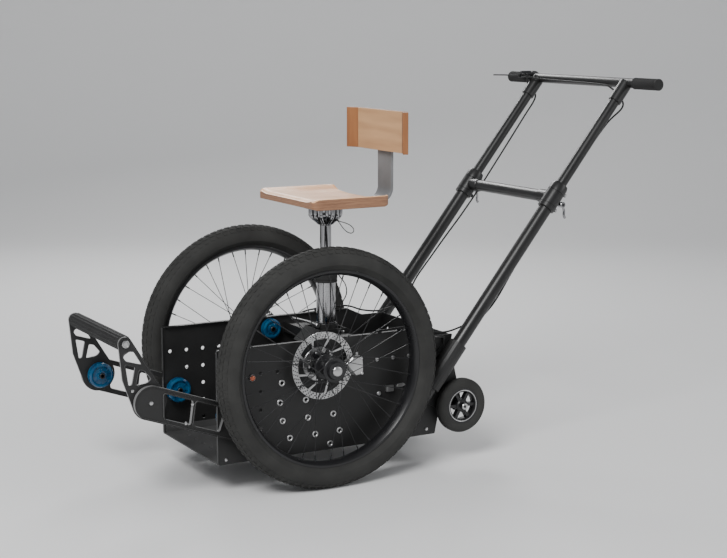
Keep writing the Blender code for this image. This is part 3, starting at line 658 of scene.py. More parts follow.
def smooth_path(points, count):
    """Catmull-Rom curve through the points."""
    points = [Vector(p) for p in points]
    ends = [points[0] * 2 - points[1], *points, points[-1] * 2 - points[-2]]
    out = []
    for k in range(count):
        place = (len(points) - 1) * k / (count - 1)
        i = min(int(place), len(points) - 2)
        t = place - i
        a, b, c, d = ends[i:i + 4]
        out.append(0.5 * (2 * b + (c - a) * t + (2 * a - 5 * b + 4 * c - d) * t ** 2
                          + (3 * b - a - 3 * c + d) * t ** 3))
    return out


def tube_along(path, radius, steps=12, closed=False, mesh=None):
    """Sweep a round section along a path, without twisting it."""
    mesh = mesh or bmesh.new()
    path = [Vector(p) for p in path]
    rings, normal = [], None
    for i, point in enumerate(path):
        ahead = path[(i + 1) % len(path)] if closed or i + 1 < len(path) else point
        behind = path[i - 1] if closed or i else point
        tangent = (ahead - behind).normalized()
        normal = (normal or tangent.orthogonal())
        normal = (normal - tangent * normal.dot(tangent)).normalized()
        side = tangent.cross(normal)
        rings.append([mesh.verts.new(point + radius * (cos(tau * k / steps) * normal + sin(tau * k / steps) * side))
                      for k in range(steps)])
    if not closed:
        rings = [[mesh.verts.new(path[0])], *rings, [mesh.verts.new(path[-1])]]
    skin(mesh, rings, closed)
    return mesh


print("helpers ready")

# %% [markdown]
# ## Tyres
# Each large wheel has a fat tyre with low, close blocks. The carcass is a turned profile: round
# crown, a moulding line on each shoulder and a bead that tucks into the rim. The tread is one row
# of blocks that `ring` repeats, sunk into the crown so that only their tops show.

# %% Large tyres
SECTION = AXLE.z - 0.036                            # radius of the circle that the section's centre runs on
SECTION_HIGH, SECTION_WIDE, BEAD = 0.0345, 0.0352, 0.2612
TREAD_COPIES = 92


def on_section(angle, lift=0.0):
    """(radius, height) on the tyre's round section, the angle in degrees from the crown."""
    a = radians(angle)
    return SECTION + (SECTION_HIGH + lift) * cos(a), (SECTION_WIDE + lift) * sin(a)


def tyre_profile():
    outer = [on_section(a) for a in range(-104, 105, 8)]
    for k, lift in ((6, 0.0006), (7, -0.0006), (-7, 0.0006), (-8, -0.0006)):
        outer[k] = on_section(-104 + 8 * (k % len(outer)), lift)
    return [(BEAD, -0.02), *outer, (BEAD, 0.02), (BEAD, 0.013), (SECTION - 0.004, 0.0285),
            (SECTION + 0.0255, 0.0), (SECTION - 0.004, -0.0285), (BEAD, -0.013)]


def tread_block(mesh, centre, low, high, start, end, skew):
    """A block on the crown between two section angles and two turns round the wheel."""
    corners = []
    for lift in (-0.0015, 0.0014):
        for angle, sweep in ((low, start), (low, end), (high, end), (high, start)):
            radius, height = on_section(angle, lift)
            turn = tau / TREAD_COPIES * (sweep + skew * angle / 60)
            corners.append(mesh.verts.new(centre + Vector((radius * cos(turn), height, radius * sin(turn)))))
    for face in ((3, 2, 1, 0), (4, 5, 6, 7), (0, 1, 5, 4), (1, 2, 6, 5), (2, 3, 7, 6), (3, 0, 4, 7)):
        mesh.faces.new([corners[i] for i in face])


for word, side in SIDES.items():
    hub = joint_at(word + "_wheel_spin")
    piece(word + "_tyre_carcass", turned(tyre_profile(), hub, steps=128, closed=True), tyre_rubber,
          word + "_wheel", [word + "_tyre"])
    row = bmesh.new()
    tread_block(row, hub, -10, 10, 0.1, 0.62, 0.25)
    for inner, outer, start, end in ((14, 30, 0.32, 0.9), (34, 52, 0.05, 0.55)):
        tread_block(row, hub, inner, outer, start, end, 0.25)
        tread_block(row, hub, -outer, -inner, start, end, 0.25)
    ringed(word + "_tread", row, TREAD_COPIES, hub, (0, 1, 0), tyre_rubber, word + "_wheel")
print("tyres done")

# %% [markdown]
# ## Rims, hubs and spokes
# The rim is a box section with a rolled lip. Each hub has two flanges, and 36 spokes run from them
# to the rim: 18 to each flange, half of them leaning each way, so that they cross. `ring` needs
# only four spokes, one of each kind, and turns nine copies of them.

# %% Rims and spokes
RIM_PROFILE = both_ends([(0.2462, 0.004), (0.2472, 0.009), (0.25, 0.015), (0.2545, 0.021), (0.2588, 0.0217),
                         (0.261, 0.0212), (0.261, 0.0196), (0.256, 0.018)])
HUB_PROFILE = [(0.0104, 0.213), (0.0172, 0.213), (0.018, 0.214), (0.018, 0.2165), (0.027, 0.2165),
               (0.028, 0.2175), (0.028, 0.2215), (0.02, 0.226), (0.0205, 0.229), (0.032, 0.2296),
               (0.033, 0.2306), (0.033, 0.2332), (0.032, 0.2342), (0.0215, 0.236), (0.019, 0.245),
               (0.0185, 0.256), (0.02, 0.27), (0.0215, 0.2755), (0.032, 0.2778), (0.033, 0.2788),
               (0.033, 0.2814), (0.032, 0.2824), (0.0245, 0.2836), (0.0245, 0.289), (0.0235, 0.2915),
               (0.0104, 0.2915)]


def spokes(centre, side):
    """Four spokes with their nipples: each flange's pair, leaning both ways."""
    mesh = bmesh.new()
    for k, (flange, lean) in enumerate(((0.232, 1), (0.2801, 1), (0.232, -1), (0.2801, -1))):
        at_rim = tau * k / 36
        at_hub = at_rim + lean * radians(62)
        ends = []
        for radius, angle, y in ((0.0292, at_hub, flange), (0.2466, at_rim, 0.253 + (flange - 0.256) * 0.12)):
            ends.append(Vector((centre.x + radius * cos(angle), side * y, centre.z + radius * sin(angle))))
        rod(ends[0], ends[1], 0.001, steps=6, mesh=mesh)
        rod(ends[1].lerp(ends[0], 0.06), ends[1], 0.0019, steps=8, mesh=mesh)
    return mesh


for word, side in SIDES.items():
    hub = joint_at(word + "_wheel_spin")
    wheel = word + "_wheel"
    piece(word + "_rim_hoop", turned(RIM_PROFILE, hub, steps=128, closed=True), black_rim, wheel, [word + "_rim"])
    shell = turned(flipped(HUB_PROFILE, side), (hub.x, 0, hub.z), steps=48, closed=True)
    piece(word + "_hub_shell", shell, black_hub, wheel, [word + "_hub"])
    ringed(word + "_spokes", spokes(hub, side), 9, hub, (0, 1, 0), black_hub, wheel)
print("wheels laced")

# %% [markdown]
# ## Brake discs
# The disc is a steel braking track on a dark carrier. The track is cut by three rows of small
# holes, and nine thin swept arms tie it to the carrier. The whole disc is one plate with many
# holes, so its outline, windows and perforations are worked out together.

# %% Discs and carriers
DISC_Y = joint_at("left_wheel_spin").y - 0.038
TRACK_OUT, TRACK_IN = 0.09, 0.0735


def disc(side, centre):
    """The braking track with its holes, and the swept arms between nine windows."""
    spot = (centre.x, centre.z)
    holes = [arc(spot, 0.035, first + 3, first + 36, 4) + arc(spot, TRACK_IN, first + 62.5, first + 27.5, 8)
             for first in range(0, 360, 40)]
    for k in range(48):
        for radius, shift in ((0.0768, 0), (0.0818, 2.4), (0.0868, 4.8)):
            angle = radians(7.5 * k + shift)
            holes.append(circle((spot[0] + radius * cos(angle), spot[1] + radius * sin(angle)), 0.0021, 8))
    holes.append(circle(spot, 0.0186, 32))
    return plate(circle(spot, TRACK_OUT, 144), (side * (DISC_Y - 0.0009), side * (DISC_Y + 0.0009)), holes)


def carrier(side, centre):
    """Dark spider over the middle of the disc, with six feet."""
    spot = (centre.x, centre.z)
    outline = []
    for first in range(0, 360, 60):
        outline += arc(spot, 0.031, first + 6, first + 36, 3) + arc(spot, 0.047, first + 44, first + 58, 3)
    return plate(outline, (side * (DISC_Y + 0.001), side * (DISC_Y + 0.0022)), [circle(spot, 0.0184)])


for word, side in SIDES.items():
    hub = joint_at(word + "_wheel_spin")
    piece(word + "_disc", disc(side, hub), steel, word + "_wheel", [word + "_rotor"], angle=20)
    piece(word + "_carrier", carrier(side, hub), black_hub, word + "_wheel", angle=20)
    bolt = turned(flipped([(0, 0), (0.0032, 0), (0.0032, 0.0014), (0.0022, 0.0022), (0, 0.0022)], side),
                  (hub.x + 0.041, side * (DISC_Y + 0.0022), hub.z), steps=12)
    ringed(word + "_disc_bolts", bolt, 6, hub, (0, 1, 0), steel, word + "_wheel")
print("discs done")

# %% [markdown]
# A caliper is cast in two halves that straddle the disc. Its outer face is cut to facets that
# meet at one point, and two bolt heads hold the halves together, so it isn't a plain block.

# %% Calipers
CALIPER = [(-0.0655, 0.318), (-0.084, 0.335), (-0.114, 0.3345), (-0.1162, 0.315), (-0.1162, 0.286),
           (-0.094, 0.2835), (-0.079, 0.295)]


def caliper(side):
    """An inner half, a bridge past the disc's edge, and the outer half with its facets."""
    outline = placed(CALIPER)
    mesh = plate(rounded(outline, 0.003), (side * 0.2002, side * 0.2118))
    bridge = placed([(-0.1162, 0.29), (-0.0965, 0.29), (-0.0965, 0.33), (-0.1162, 0.33)])
    plate(bridge, (side * 0.211, side * 0.219), mesh=mesh)
    middle = Vector((AXLE.x - 0.094, 0.309))
    rings = []
    for scale, y in ((1.0, 0.2184), (1.0, 0.2235), (0.9, 0.2262)):
        points = [middle + (Vector(p) - middle) * scale for p in outline]
        rings.append([mesh.verts.new((p.x, side * y, p.y)) for p in points])
    mesh.faces.new(rings[0])
    peak = [mesh.verts.new(at(-0.079, side * 0.2308, 0.302))]
    skin(mesh, [*rings, peak], False)
    return mesh


def caliper_trim(side):
    mesh = bmesh.new()
    for x, z in ((-0.111, 0.2895), (-0.1095, 0.33)):
        rod(at(x, side * 0.224, z), at(x, side * 0.2285, z), 0.004, 20, chamfer=0.0006, mesh=mesh)
    return mesh


for word, side in SIDES.items():
    piece(word + "_caliper_body", caliper(side), aluminium, "frame", [word + "_caliper"], bevel=0.0004, angle=12)
    piece(word + "_caliper_trim", caliper_trim(side), steel, "frame")
    foot = block(at(-0.115, side * OFF_PANEL, 0.292), at(-0.096, side * 0.201, 0.33))
    piece(word + "_caliper_foot", foot, black_coat, "frame", bevel=0.001)
print("calipers done")

# %% [markdown]
# ## Axle ends
# The wheels turn on short axles that reach out from the panels. Only a flange, the end washer and
# a slotted bolt show, so those are turned finely.

# %% Axles
for word, side in SIDES.items():
    place = (AXLE.x, 0, AXLE.z)
    flange = [(0, OFF_PANEL), (0.0452, OFF_PANEL), (0.046, 0.1877), (0.046, 0.1915), (0.0445, 0.193), (0.018, 0.1945),
              (0.0155, 0.1965), (0.0155, 0.2119), (0.01, 0.2121), (0.01, 0.2918), (0.0128, 0.292),
              (0.0135, 0.2926), (0.0135, 0.2972), (0.012, 0.299), (0.0075, 0.3004), (0, 0.3006)]
    piece(word + "_axle_shaft", turned(flipped(flange, side), place), steel, "frame", [word + "_axle"])
    ring = [(0.014, 0.2922), (0.0225, 0.2922), (0.0235, 0.2932), (0.0225, 0.295), (0.014, 0.2958)]
    piece(word + "_axle_cap", turned(flipped(ring, side), place, closed=True), black_hub, "frame")
print("axles done")

# %% [markdown]
# ## The tray's side panels
# Each side is one folded steel sheet. Its top and front edges are turned inwards to stiffen it,
# and the fold catches the light. Real holes are cut through the sheet, because they show the
# background behind, which no bump map can do. `perforate` cuts them all at once.

# %% Panels and their folds
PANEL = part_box("left_side_panel")[1][1]             # outer face of the left panel
SHEET = 0.003
PITCH, HOLE_RADIUS = 0.049, 0.0052
PANEL_OUTLINE = [(0.29, 0.082), (0.29, 0.383), (-0.29, 0.383), (-0.342, 0.359), (-0.42, 0.359),
                 (-0.365, 0.082)]
GRID_TOP, GRID_FRONT = 0.3115, 0.2655
EYELETS = [(0.106, 0.279), (0.112, 0.227), (0.036, 0.226), (0.105, 0.177), (0.03, 0.177), (-0.046, 0.178),
           (0.084, 0.128), (0.009, 0.129), (-0.065, 0.13), (-0.036, 0.097)]


def panel_holes():
    """The front holes thin out round the guide roller, and one row runs on along the top."""
    roller = Vector((0.25, 0.205))
    places = [(GRID_FRONT - PITCH * i, GRID_TOP - PITCH * j) for i in range(4) for j in range(min(i * i + 1, 5))]
    places = [(x, z) for x, z in places if (Vector((x, z)) - roller).length > 0.06 and z > 0.1
              and (x > 0.14 or x > 0.11 and z > 0.3)]
    return places + [(-0.18 - 0.05 * k, GRID_TOP) for k in range(3)]


def punch(axis='Y', steps=20, turn=None):
    """The pin that `perforate` cuts with: as wide as a hole, and longer than any sheet is thick."""
    profile = both_ends([(HOLE_RADIUS, 0.01), (0, 0.01)])
    return turned(profile, (0, 0, 0), axis, steps, turn=turn)


for word, side in SIDES.items():
    sheet = plate(rounded(placed(PANEL_OUTLINE), 0.004), (side * (PANEL - SHEET), side * PANEL))
    cuts = spots(panel_holes() + EYELETS, side * (PANEL - SHEET / 2))
    perforated(word + "_panel", sheet, punch(), cuts, black_coat, "frame", [word + "_side_panel"], angle=25)
    fold = block(at(-0.286, side * (PANEL - 0.015), 0.3806), at(0.2865, side * PANEL, 0.3833))
    block(at(0.2874, side * (PANEL - 0.01), 0.086), at(0.2903, side * PANEL, 0.3806), fold)
    piece(word + "_panel_fold", fold, black_coat, "frame", bevel=0.001)
print("holes in each panel:", len(panel_holes()) + len(EYELETS))

# %% [markdown]
# Bright eyelets line the lower holes, and dome bolts hold the corners. Each kind is one small
# turned shape that `scatter` puts at every place.

# %% Eyelets and panel bolts
def eyelet(side):
    profile = [(0.0046, -0.001), (0.0088, -0.001), (0.009, 0.0004), (0.0078, 0.0013), (0.0056, 0.0013),
               (0.0046, 0.0002)]
    return turned(flipped(profile, side), (0, 0, 0), steps=20, closed=True)


def dome_bolt(radius, side):
    rise = radius * 0.55
    profile = [(0, -0.001), (radius, -0.001), (radius, radius * 0.1), (radius * 0.85, rise * 0.75),
               (radius * 0.45, rise), (0, rise)]
    return turned(flipped(profile, side), (0, 0, 0), steps=16)


def bolts(name, radius, places, side, y, finish=steel, body="frame"):
    """Dome bolts of one size at (x, z) places, their heads outwards."""
    scattered(name, dome_bolt(radius, side), spots(places, side * y), finish, body)


CORNER_BOLTS = [(0.269, 0.095), (-0.338, 0.098)]
for word, side in SIDES.items():
    scattered(word + "_eyelets", eyelet(side), spots(EYELETS, side * PANEL), steel, "frame")
    bolts(word + "_panel_bolts", 0.0048, CORNER_BOLTS, side, PANEL)
    bolts(word + "_top_bolts", 0.0058, panel_holes()[-3:], side, PANEL, aluminium)

# %% [markdown]
# The floor is a tray of its own with upturned edges, perforated in rows, and the rear wall leans
# back with the sides.

# %% Floor and rear wall
INNER = PANEL - SHEET - 0.0003
floor_profile = [(-INNER, 0.082), (INNER, 0.082), (INNER, 0.104), (INNER - SHEET, 0.104), (INNER - SHEET, 0.085),
                 (SHEET - INNER, 0.085), (SHEET - INNER, 0.104), (-INNER, 0.104)]
floor = plate(floor_profile, (AXLE.x - 0.365, AXLE.x + 0.29), plane='YZ')
holes = [at(0.24 - 0.098 * i, PITCH * (j - 2.5), 0.0835) for i in range(6) for j in range(6)]
perforated("floor_sheet", floor, punch('Z', 16), holes, painted_light_floor_coat, "frame", ["tray_floor"], angle=25)

low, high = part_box("rear_wall")
lean = (high[0] - SHEET - low[0]) / (high[2] - low[2])
wall = plate([(high[0] - SHEET, low[2]), (low[0], high[2]), (low[0] + SHEET, high[2]), (high[0], low[2])],
             (low[1], high[1]))
holes = [Vector((high[0] - SHEET / 2 - lean * (0.06 + PITCH * i), PITCH * (j - 3), low[2] + 0.06 + PITCH * i))
         for i in range(4) for j in range(7)]
BACKWARDS = Quaternion((0, 1, 0), radians(90))
perforated("rear_sheet", wall, punch('Z', 16, BACKWARDS), holes, black_coat, "frame", ["rear_wall"], angle=25)
print("tray done")

# %% [markdown]
# ## Arms and footrest plates
# Both are cut from thick plate, with windows to save weight and a raised rim along every edge.
# `rimmed` draws such a plate: a thin web with its windows, and a band round each outline. The edge
# faces get a lighter grey of their own, a painted highlight where light catches the edges.

# %% Rimmed plates
def offset(outline, distance):
    """Move a closed outline outwards, or inwards when the distance is negative."""
    points = [Vector(p) for p in outline]
    area = sum(a.x * b.y - b.x * a.y for a, b in zip(points, points[1:] + points[:1]))
    distance *= 1 if area > 0 else -1
    moved = []
    for before, here, after in zip(points[-1:] + points[:-1], points, points[1:] + points[:1]):
        one, two = (here - before).normalized(), (after - here).normalized()
        normal = Vector((one.y, -one.x)) + Vector((two.y, -two.x))
        moved.append(tuple(here + normal * (2 * distance / normal.length_squared)))
    return moved


COATED, EDGE = 0, 1                                 # slots: coat on the faces, a lighter grey along the edges as painted highlight


def rimmed(outline, windows, depth, inset, band):
    """A web between two depths, set back by inset on its outer face, with a band round each edge."""
    near, far = depth
    step = inset if far > near else -inset
    mesh = plate(outline, (near, far - step), windows)
    rim = (far - step * 1.15, far)
    plate(outline, rim, [offset(outline, -band)], mesh=mesh)
    for window in windows:
        plate(offset(window, band * 0.75), rim, [window], mesh=mesh)
    bmesh.ops.recalc_face_normals(mesh, faces=mesh.faces)
    for face in mesh.faces:
        # edge faces take the lighter grey, a painted highlight
        face.material_index = EDGE if abs(face.normal.y) < 0.5 else COATED
    return mesh


def rimmed_piece(name, mesh, body, node, bevel):
    finish_piece(name, to_data(name, mesh), [black_coat, painted_highlight_edge], body, [node], bevel)


NOSE, NOSE_RADIUS, SLOPE = (0.475, 0.272), 0.044, 19.5
ARM_OUT, FOOT_IN, FOOT_OUT = 0.199, 0.1802, 0.186


def along_arm(distance, across):
    """A place back from the nose along the arm, and off its centre line."""
    a = radians(SLOPE)
    x = NOSE[0] - distance * cos(a) - across * sin(a)
    return AXLE.x + x, NOSE[1] - distance * sin(a) + across * cos(a)


arm_length = (NOSE[0] - 0.228) / cos(radians(SLOPE))
half = NOSE_RADIUS - 0.013
nose = arc((AXLE.x + NOSE[0], NOSE[1]), NOSE_RADIUS, SLOPE - 90, SLOPE + 90, 28)
arm_outline = [*nose, along_arm(arm_length, NOSE_RADIUS), along_arm(arm_length, -NOSE_RADIUS)]
arm_windows = [rounded([along_arm(back, across) for back, across in corners], 0.007) for corners in (
    [(0.026, half), (0.11, half), (0.122, -half), (0.048, -half)],
    [(0.118, half), (0.206, half), (0.206, -half), (0.13, -half)])]
ARM_BOLTS = [(0.364, 0.257), (0.384, 0.209)]
for word, side in SIDES.items():
    mesh = rimmed(arm_outline, arm_windows, (side * OFF_PANEL, side * ARM_OUT), 0.003, 0.0034)
    rimmed_piece(word + "_arm_plate", mesh, "frame", word + "_arm", 0.0006)
    bolts(word + "_arm_bolts", 0.0042, ARM_BOLTS, side, ARM_OUT)
    bolts(word + "_nose_bolt", 0.0056, [NOSE], side, ARM_OUT - 0.0028)
print("arms done")

# %% [markdown]
# The footrest's plates taper from a wide lobe round the nose up to the roller. They turn about
# the nose, so everything here rides on the footrest.

# %% Footrest plates
FOOT_TOP = (0.536, 0.427)


def foot_outline():
    rise = Vector((FOOT_TOP[0] - NOSE[0], FOOT_TOP[1] - NOSE[1]))
    lean = Vector((1, 0)).angle_signed(rise) * -180 / pi
    taper = 180 / pi * 0.028 / rise.length
    outline = arc(FOOT_TOP, 0.018, lean - 90 + taper, lean + 90 - taper, 16)
    outline += arc(NOSE, 0.046, lean + 90 - taper, lean + 270 + taper, 28)
    outline.append((0.545, 0.335))
    return placed(outline)


FOOT_WINDOWS = [rounded(placed(corners), 0.004) for corners in (
    [(0.5385, 0.399), (0.525, 0.4065), (0.5135, 0.4045), (0.4935, 0.3705), (0.5345, 0.383), (0.5415, 0.393)],
    [(0.5365, 0.373), (0.511, 0.365), (0.52, 0.3215), (0.529, 0.32)],
    [(0.5, 0.356), (0.486, 0.353), (0.469, 0.332), (0.478, 0.323), (0.509, 0.319)])]
for word, side in SIDES.items():
    mesh = rimmed(foot_outline(), FOOT_WINDOWS, (side * FOOT_IN, side * FOOT_OUT), 0.0014, 0.0028)
    rimmed_piece(word + "_foot_plate", mesh, "footrest", word + "_footrest_plate", 0.0004)
    bolts(word + "_foot_bolt", 0.0045, [(0.52, 0.306)], side, FOOT_OUT, body="footrest")

x, z = AXLE.x + FOOT_TOP[0], FOOT_TOP[1]
screw = both_ends([(0.006, 0.1863), (0.01, 0.1863), (0.01, 0.19), (0.0092, 0.1918), (0.0074, 0.1923),
                   (0.006, 0.1905), (0.0046, 0.1905), (0.0042, 0.1922), (0, 0.1922)])
piece("footrest_screw", turned(screw, (x, 0, z), steps=32), steel, "footrest", ["footrest_axle"])

# %% [markdown]
# The footrest's roller is a rubber sleeve with rounded ribs along it, like an extruded grip. The
# sleeve is turned, and one rib is repeated round it.

# %% Ribbed roller
roll = turned(both_ends([(0.0192, 0.1763), (0.0178, 0.1777), (0.0064, 0.1777)]), (x, 0, z), steps=64, closed=True)
piece("roller_sleeve", roll, grip_rubber, "footrest_roller", ["footrest_roller"])
rib = rod((x + 0.018, -0.1745, z), (x + 0.018, 0.1745, z), 0.0025, 10, chamfer=0.0008)
ringed("roller_ribs", rib, 16, (x, 0, z), (0, 1, 0), grip_rubber, "footrest_roller")
print("footrest done")

# %% [markdown]
# ## Guide rollers
# Six blue rollers guide the cart along a rail or a strap. Each is moulded with a rim, a recessed
# web with ribs, and a boss round a steel bearing.

# %% Rollers, bearings and studs
def guide_profile(radius):
    half = [(0.0095, 0.012), (0.0125, 0.012), (0.0135, 0.0085), (radius - 0.0095, 0.0075),
            (radius - 0.008, 0.0115), (radius - 0.005, 0.012), (radius - 0.0012, 0.01), (radius, 0.007),
            (radius - 0.0012, 0.004), (radius - 0.0012, 0.002)]
    return half + flipped(reversed(half), -1)


for word, side in SIDES.items():
    studs = bmesh.new()
    for spot_name, radius in (("nose", 0.034), ("low", 0.034), ("high", 0.028)):
        body = word + "_" + spot_name + "_roller"
        centre = joint_at(body + "_spin")
        wheel = turned(guide_profile(radius), centre, closed=True)
        piece(body + "_wheel", wheel, blue_roller, body, [body])
        wing = block((centre.x + 0.0115, centre.y - 0.01, centre.z - 0.0011),
                     (centre.x + radius - 0.007, centre.y + 0.01, centre.z + 0.0011))
        ringed(body + "_ribs", wing, 8, centre, (0, 1, 0), blue_roller, body)
        bearing = both_ends([(0.0096, 0.0112), (0.0053, 0.0112)])
        piece(body + "_bearing", turned(bearing, centre, steps=32, closed=True), blue_roller, body)
        inner = side * (abs(centre.y) - 0.0162)
        rod((centre.x, inner, centre.z), (centre.x, side * (PANEL + 0.002), centre.z), 0.005, 24, chamfer=0.0006,
            mesh=studs)
        rod((centre.x, inner, centre.z), (centre.x, side * (abs(centre.y) - 0.0125), centre.z), 0.0078, 24,
            chamfer=0.0008, mesh=studs)
    piece(word + "_studs", studs, black_hub, "frame")
print("rollers done")

# %% [markdown]
# ## Anti-tip wheels
# Two small wheels stop the cart from tipping back. A grooved tyre sits on a dark spoked core,
# whose bright lip is what catches the eye.

# %% Small wheels
TREAD = both_ends([(0.076, 0.0028), (0.0742, 0.0034), (0.0742, 0.0042), (0.0758, 0.0048), (0.0758, 0.0066),
                   (0.0735, 0.0108), (0.069, 0.0142), (0.062, 0.016), (0.054, 0.0148), (0.05, 0.013)])
CORE_RIM = both_ends([(0.0385, 0.01), (0.04, 0.0125), (0.0497, 0.0125)])
CORE_HUB = both_ends([(0.018, 0.0095), (0.015, 0.0125), (0.0063, 0.0125)])
LIP = [(0.0446, 0.012), (0.0446, 0.0132), (0.0438, 0.0136), (0.0426, 0.0132), (0.0422, 0.012)]
BOLT_RING = [(0.004, 0.0226), (0.0082, 0.0226), (0.009, 0.0232), (0.0082, 0.0242), (0.0052, 0.0242),
             (0.004, 0.0234)]
for word, side in SIDES.items():
    body = word + "_rear_wheel"
    centre = joint_at(body + "_spin")
    tyre = turned(TREAD, centre, steps=80, closed=True)
    piece(word + "_small_tyre", tyre, tyre_rubber, body, [word + "_rear_tyre"])
    core = turned(CORE_RIM, centre, steps=64, closed=True)
    turned(CORE_HUB, centre, steps=32, closed=True, mesh=core)
    piece(word + "_small_core", core, black_hub, body, [word + "_rear_wheel_core"])
    arm_shape = block((centre.x + 0.017, centre.y - 0.0085, centre.z - 0.0042),
                      (centre.x + 0.0395, centre.y + 0.0085, centre.z + 0.0042))
    ringed(word + "_small_spokes", arm_shape, 6, centre, (0, 1, 0), black_hub, body, bevel=0.0012)
    for face in (1, -1):
        lip = turned(flipped(LIP, face), centre, steps=64, closed=True)
        piece(f"{word}_small_lip_{'outer' if face == side else 'inner'}", lip, aluminium, body)
    ring = turned(flipped(BOLT_RING, side), centre, steps=32, closed=True)
    piece(word + "_small_ring", ring, steel, "frame")
print("small wheels done")

# %% [markdown]
# ## The push handle
# Each side is two tubes, one sliding in the other. A cross tube with clamp collars joins the lower
# pair, and quick-release levers pinch the collars. `on_tube` gives a place on a handle tube.

# %% Tubes
HANDLE_Y = 0.213
LEAN = 0.8
BAR_Z = joint_at("brake_lever_pull").z - 0.007


def on_tube(side, z, off=0.0, inward=0.0):
    """A place on a tube's axis at a height, moved off it to its rear, and towards the middle."""
    length = sqrt(1 + LEAN ** 2)
    return at(-0.555 - LEAN * (z - 0.5) - off / length, side * (HANDLE_Y - inward), z - off * LEAN / length)


BAR_X = on_tube(1, BAR_Z).x


def ring_on_tube(side, z, shape, mesh=None, steps=40):
    """Turn (radius, height along the tube) points about the tube's axis."""
    along = (on_tube(side, z + 0.1) - on_tube(side, z)).to_track_quat('Z', 'Y')
    return turned(shape, on_tube(side, z), 'Z', steps, True, mesh, along)


for word, side in SIDES.items():
    low = rod(on_tube(side, 0.188), on_tube(side, 0.738), 0.019, 48, bore=0.0163, chamfer=0.0008)
    piece(word + "_outer_tube", low, tube_coat, "frame", [word + "_lower_tube"])
    high = rod(on_tube(side, 0.47), on_tube(side, BAR_Z - 0.014), 0.015, 48, chamfer=0.0008)
    piece(word + "_inner_tube", high, tube_coat, "upper_handle", [word + "_upper_tube"])

# %% [markdown]
# The collars are cast in two halves round the tubes, so each shows a parting groove, a stepped
# top and two screws behind. They and the cross tube are one welded part.

# %% Cross tube and clamp collars
BRIDGE_Z = 0.722
COLLAR = [(0.0193, -0.0384), (0.0236, -0.0384), (0.0252, -0.0368), (0.0252, -0.0262), (0.0241, -0.0256),
          (0.0241, -0.0246), (0.0252, -0.024), (0.0252, 0.015), (0.024, 0.0158), (0.024, 0.0172),
          (0.0252, 0.018), (0.0252, 0.035), (0.0225, 0.0435), (0.017, 0.0435), (0.0161, 0.0425),
          (0.0161, 0.0208), (0.0193, 0.0208)]
bridge = bmesh.new()
rod(on_tube(1, BRIDGE_Z, inward=0.02), on_tube(-1, BRIDGE_Z, inward=0.02), 0.0165, 40, mesh=bridge)
for side in SIDES.values():
    rod(on_tube(side, BRIDGE_Z, inward=0.0175), on_tube(side, BRIDGE_Z, inward=0.058), 0.019, 40, chamfer=0.002,
        mesh=bridge)
    ring_on_tube(side, BRIDGE_Z, COLLAR, bridge)
piece("clamp_bridge", bridge, tube_coat, "frame", ["handle_bridge"])

ears, screws = bmesh.new(), bmesh.new()
for side in SIDES.values():
    for z in (0.702, 0.742):
        seat_at = on_tube(side, z, 0.0262)
        barrel(seat_at, 0.01, 0.0052, 20, 0.0008, ears)
        rod(seat_at + Vector((0, side * 0.0095, 0)), seat_at + Vector((0, side * 0.012, 0)), 0.0036, 12,
            chamfer=0.0006, mesh=screws)
piece("collar_ears", ears, tube_coat, "frame")
piece("collar_screws", screws, steel, "frame")

# %% [markdown]
# A quick-release lever is a cam barrel with a hooked blade, cast in one. The blade's path is a
# short curve that hangs beside the tube.

# %% Quick-release levers
for word, side in SIDES.items():
    name = word + "_clamp_lever"
    pivot = joint_at(name + "_open")
    lever = barrel(pivot, 0.009, 0.0085, 32, 0.0012)
    hook = [(0, 0, 0), (-0.0062, side * 0.001, -0.009), (-0.0078, side * 0.002, -0.02),
            (-0.007, side * 0.0028, -0.03), (-0.011, side * 0.003, -0.0385)]
    tube_along(smooth_path([pivot + Vector(p) for p in hook], 18), 0.0036, 12, mesh=lever)
    piece(name + "_cam", lever, painted_reflection_chrome, name, [name])
    piece(name + "_pin", barrel(pivot, 0.0104, 0.004, 20, 0.0006), black_hub, name)
print("clamps done")

# %% [markdown]
# The handlebar is a straight bar with a welded sleeve over each upper tube. Rubber grips with a
# flanged end and fine rings cover its ends.

# %% Handlebar and grips
bar = rod((BAR_X, -0.351, BAR_Z), (BAR_X, 0.351, BAR_Z), 0.014, 48, chamfer=0.001)
for side in SIDES.values():
    shape = [(0.0153, -0.066), (0.0182, -0.066), (0.019, -0.065), (0.019, 0.0), (0.0153, 0.0)]
    ring_on_tube(side, BAR_Z, shape, bar)
piece("top_bar", bar, tube_coat, "upper_handle", ["handlebar"])

BUMPS, BUMP_PITCH = 22, 0.004
for word, side in SIDES.items():
    shape = [(0.0143, 0.254), (0.0158, 0.254), (0.0165, 0.255), (0.0165, 0.2575), (0.0156, 0.2585)]
    for k in range(BUMPS):
        y = 0.26 + BUMP_PITCH * k
        shape += [(0.0156, y), (0.0163, y + 0.0009), (0.0163, y + 0.0023), (0.0156, y + 0.0032)]
    shape += [(0.0156, 0.35), (0.0165, 0.3512), (0.0165, 0.3558), (0.015, 0.357), (0, 0.357), (0, 0.3513),
              (0.0143, 0.3513)]
    shape = flipped(shape, side)
    grip = turned([*shape, shape[0]], (BAR_X, 0, BAR_Z), steps=40)
    bmesh.ops.remove_doubles(grip, verts=grip.verts, dist=0.00001)
    piece(word + "_grip_sleeve", grip, grip_rubber, "upper_handle", [word + "_grip"])

# %% [markdown]
# One brake lever works both calipers. Its body is a clamp ring with a small slanted cylinder, and
# the blade runs along in front of the grip and turns away from it at the tip. The blade is the
# outline of a smooth path, extruded, because it is stamped from flat bar.

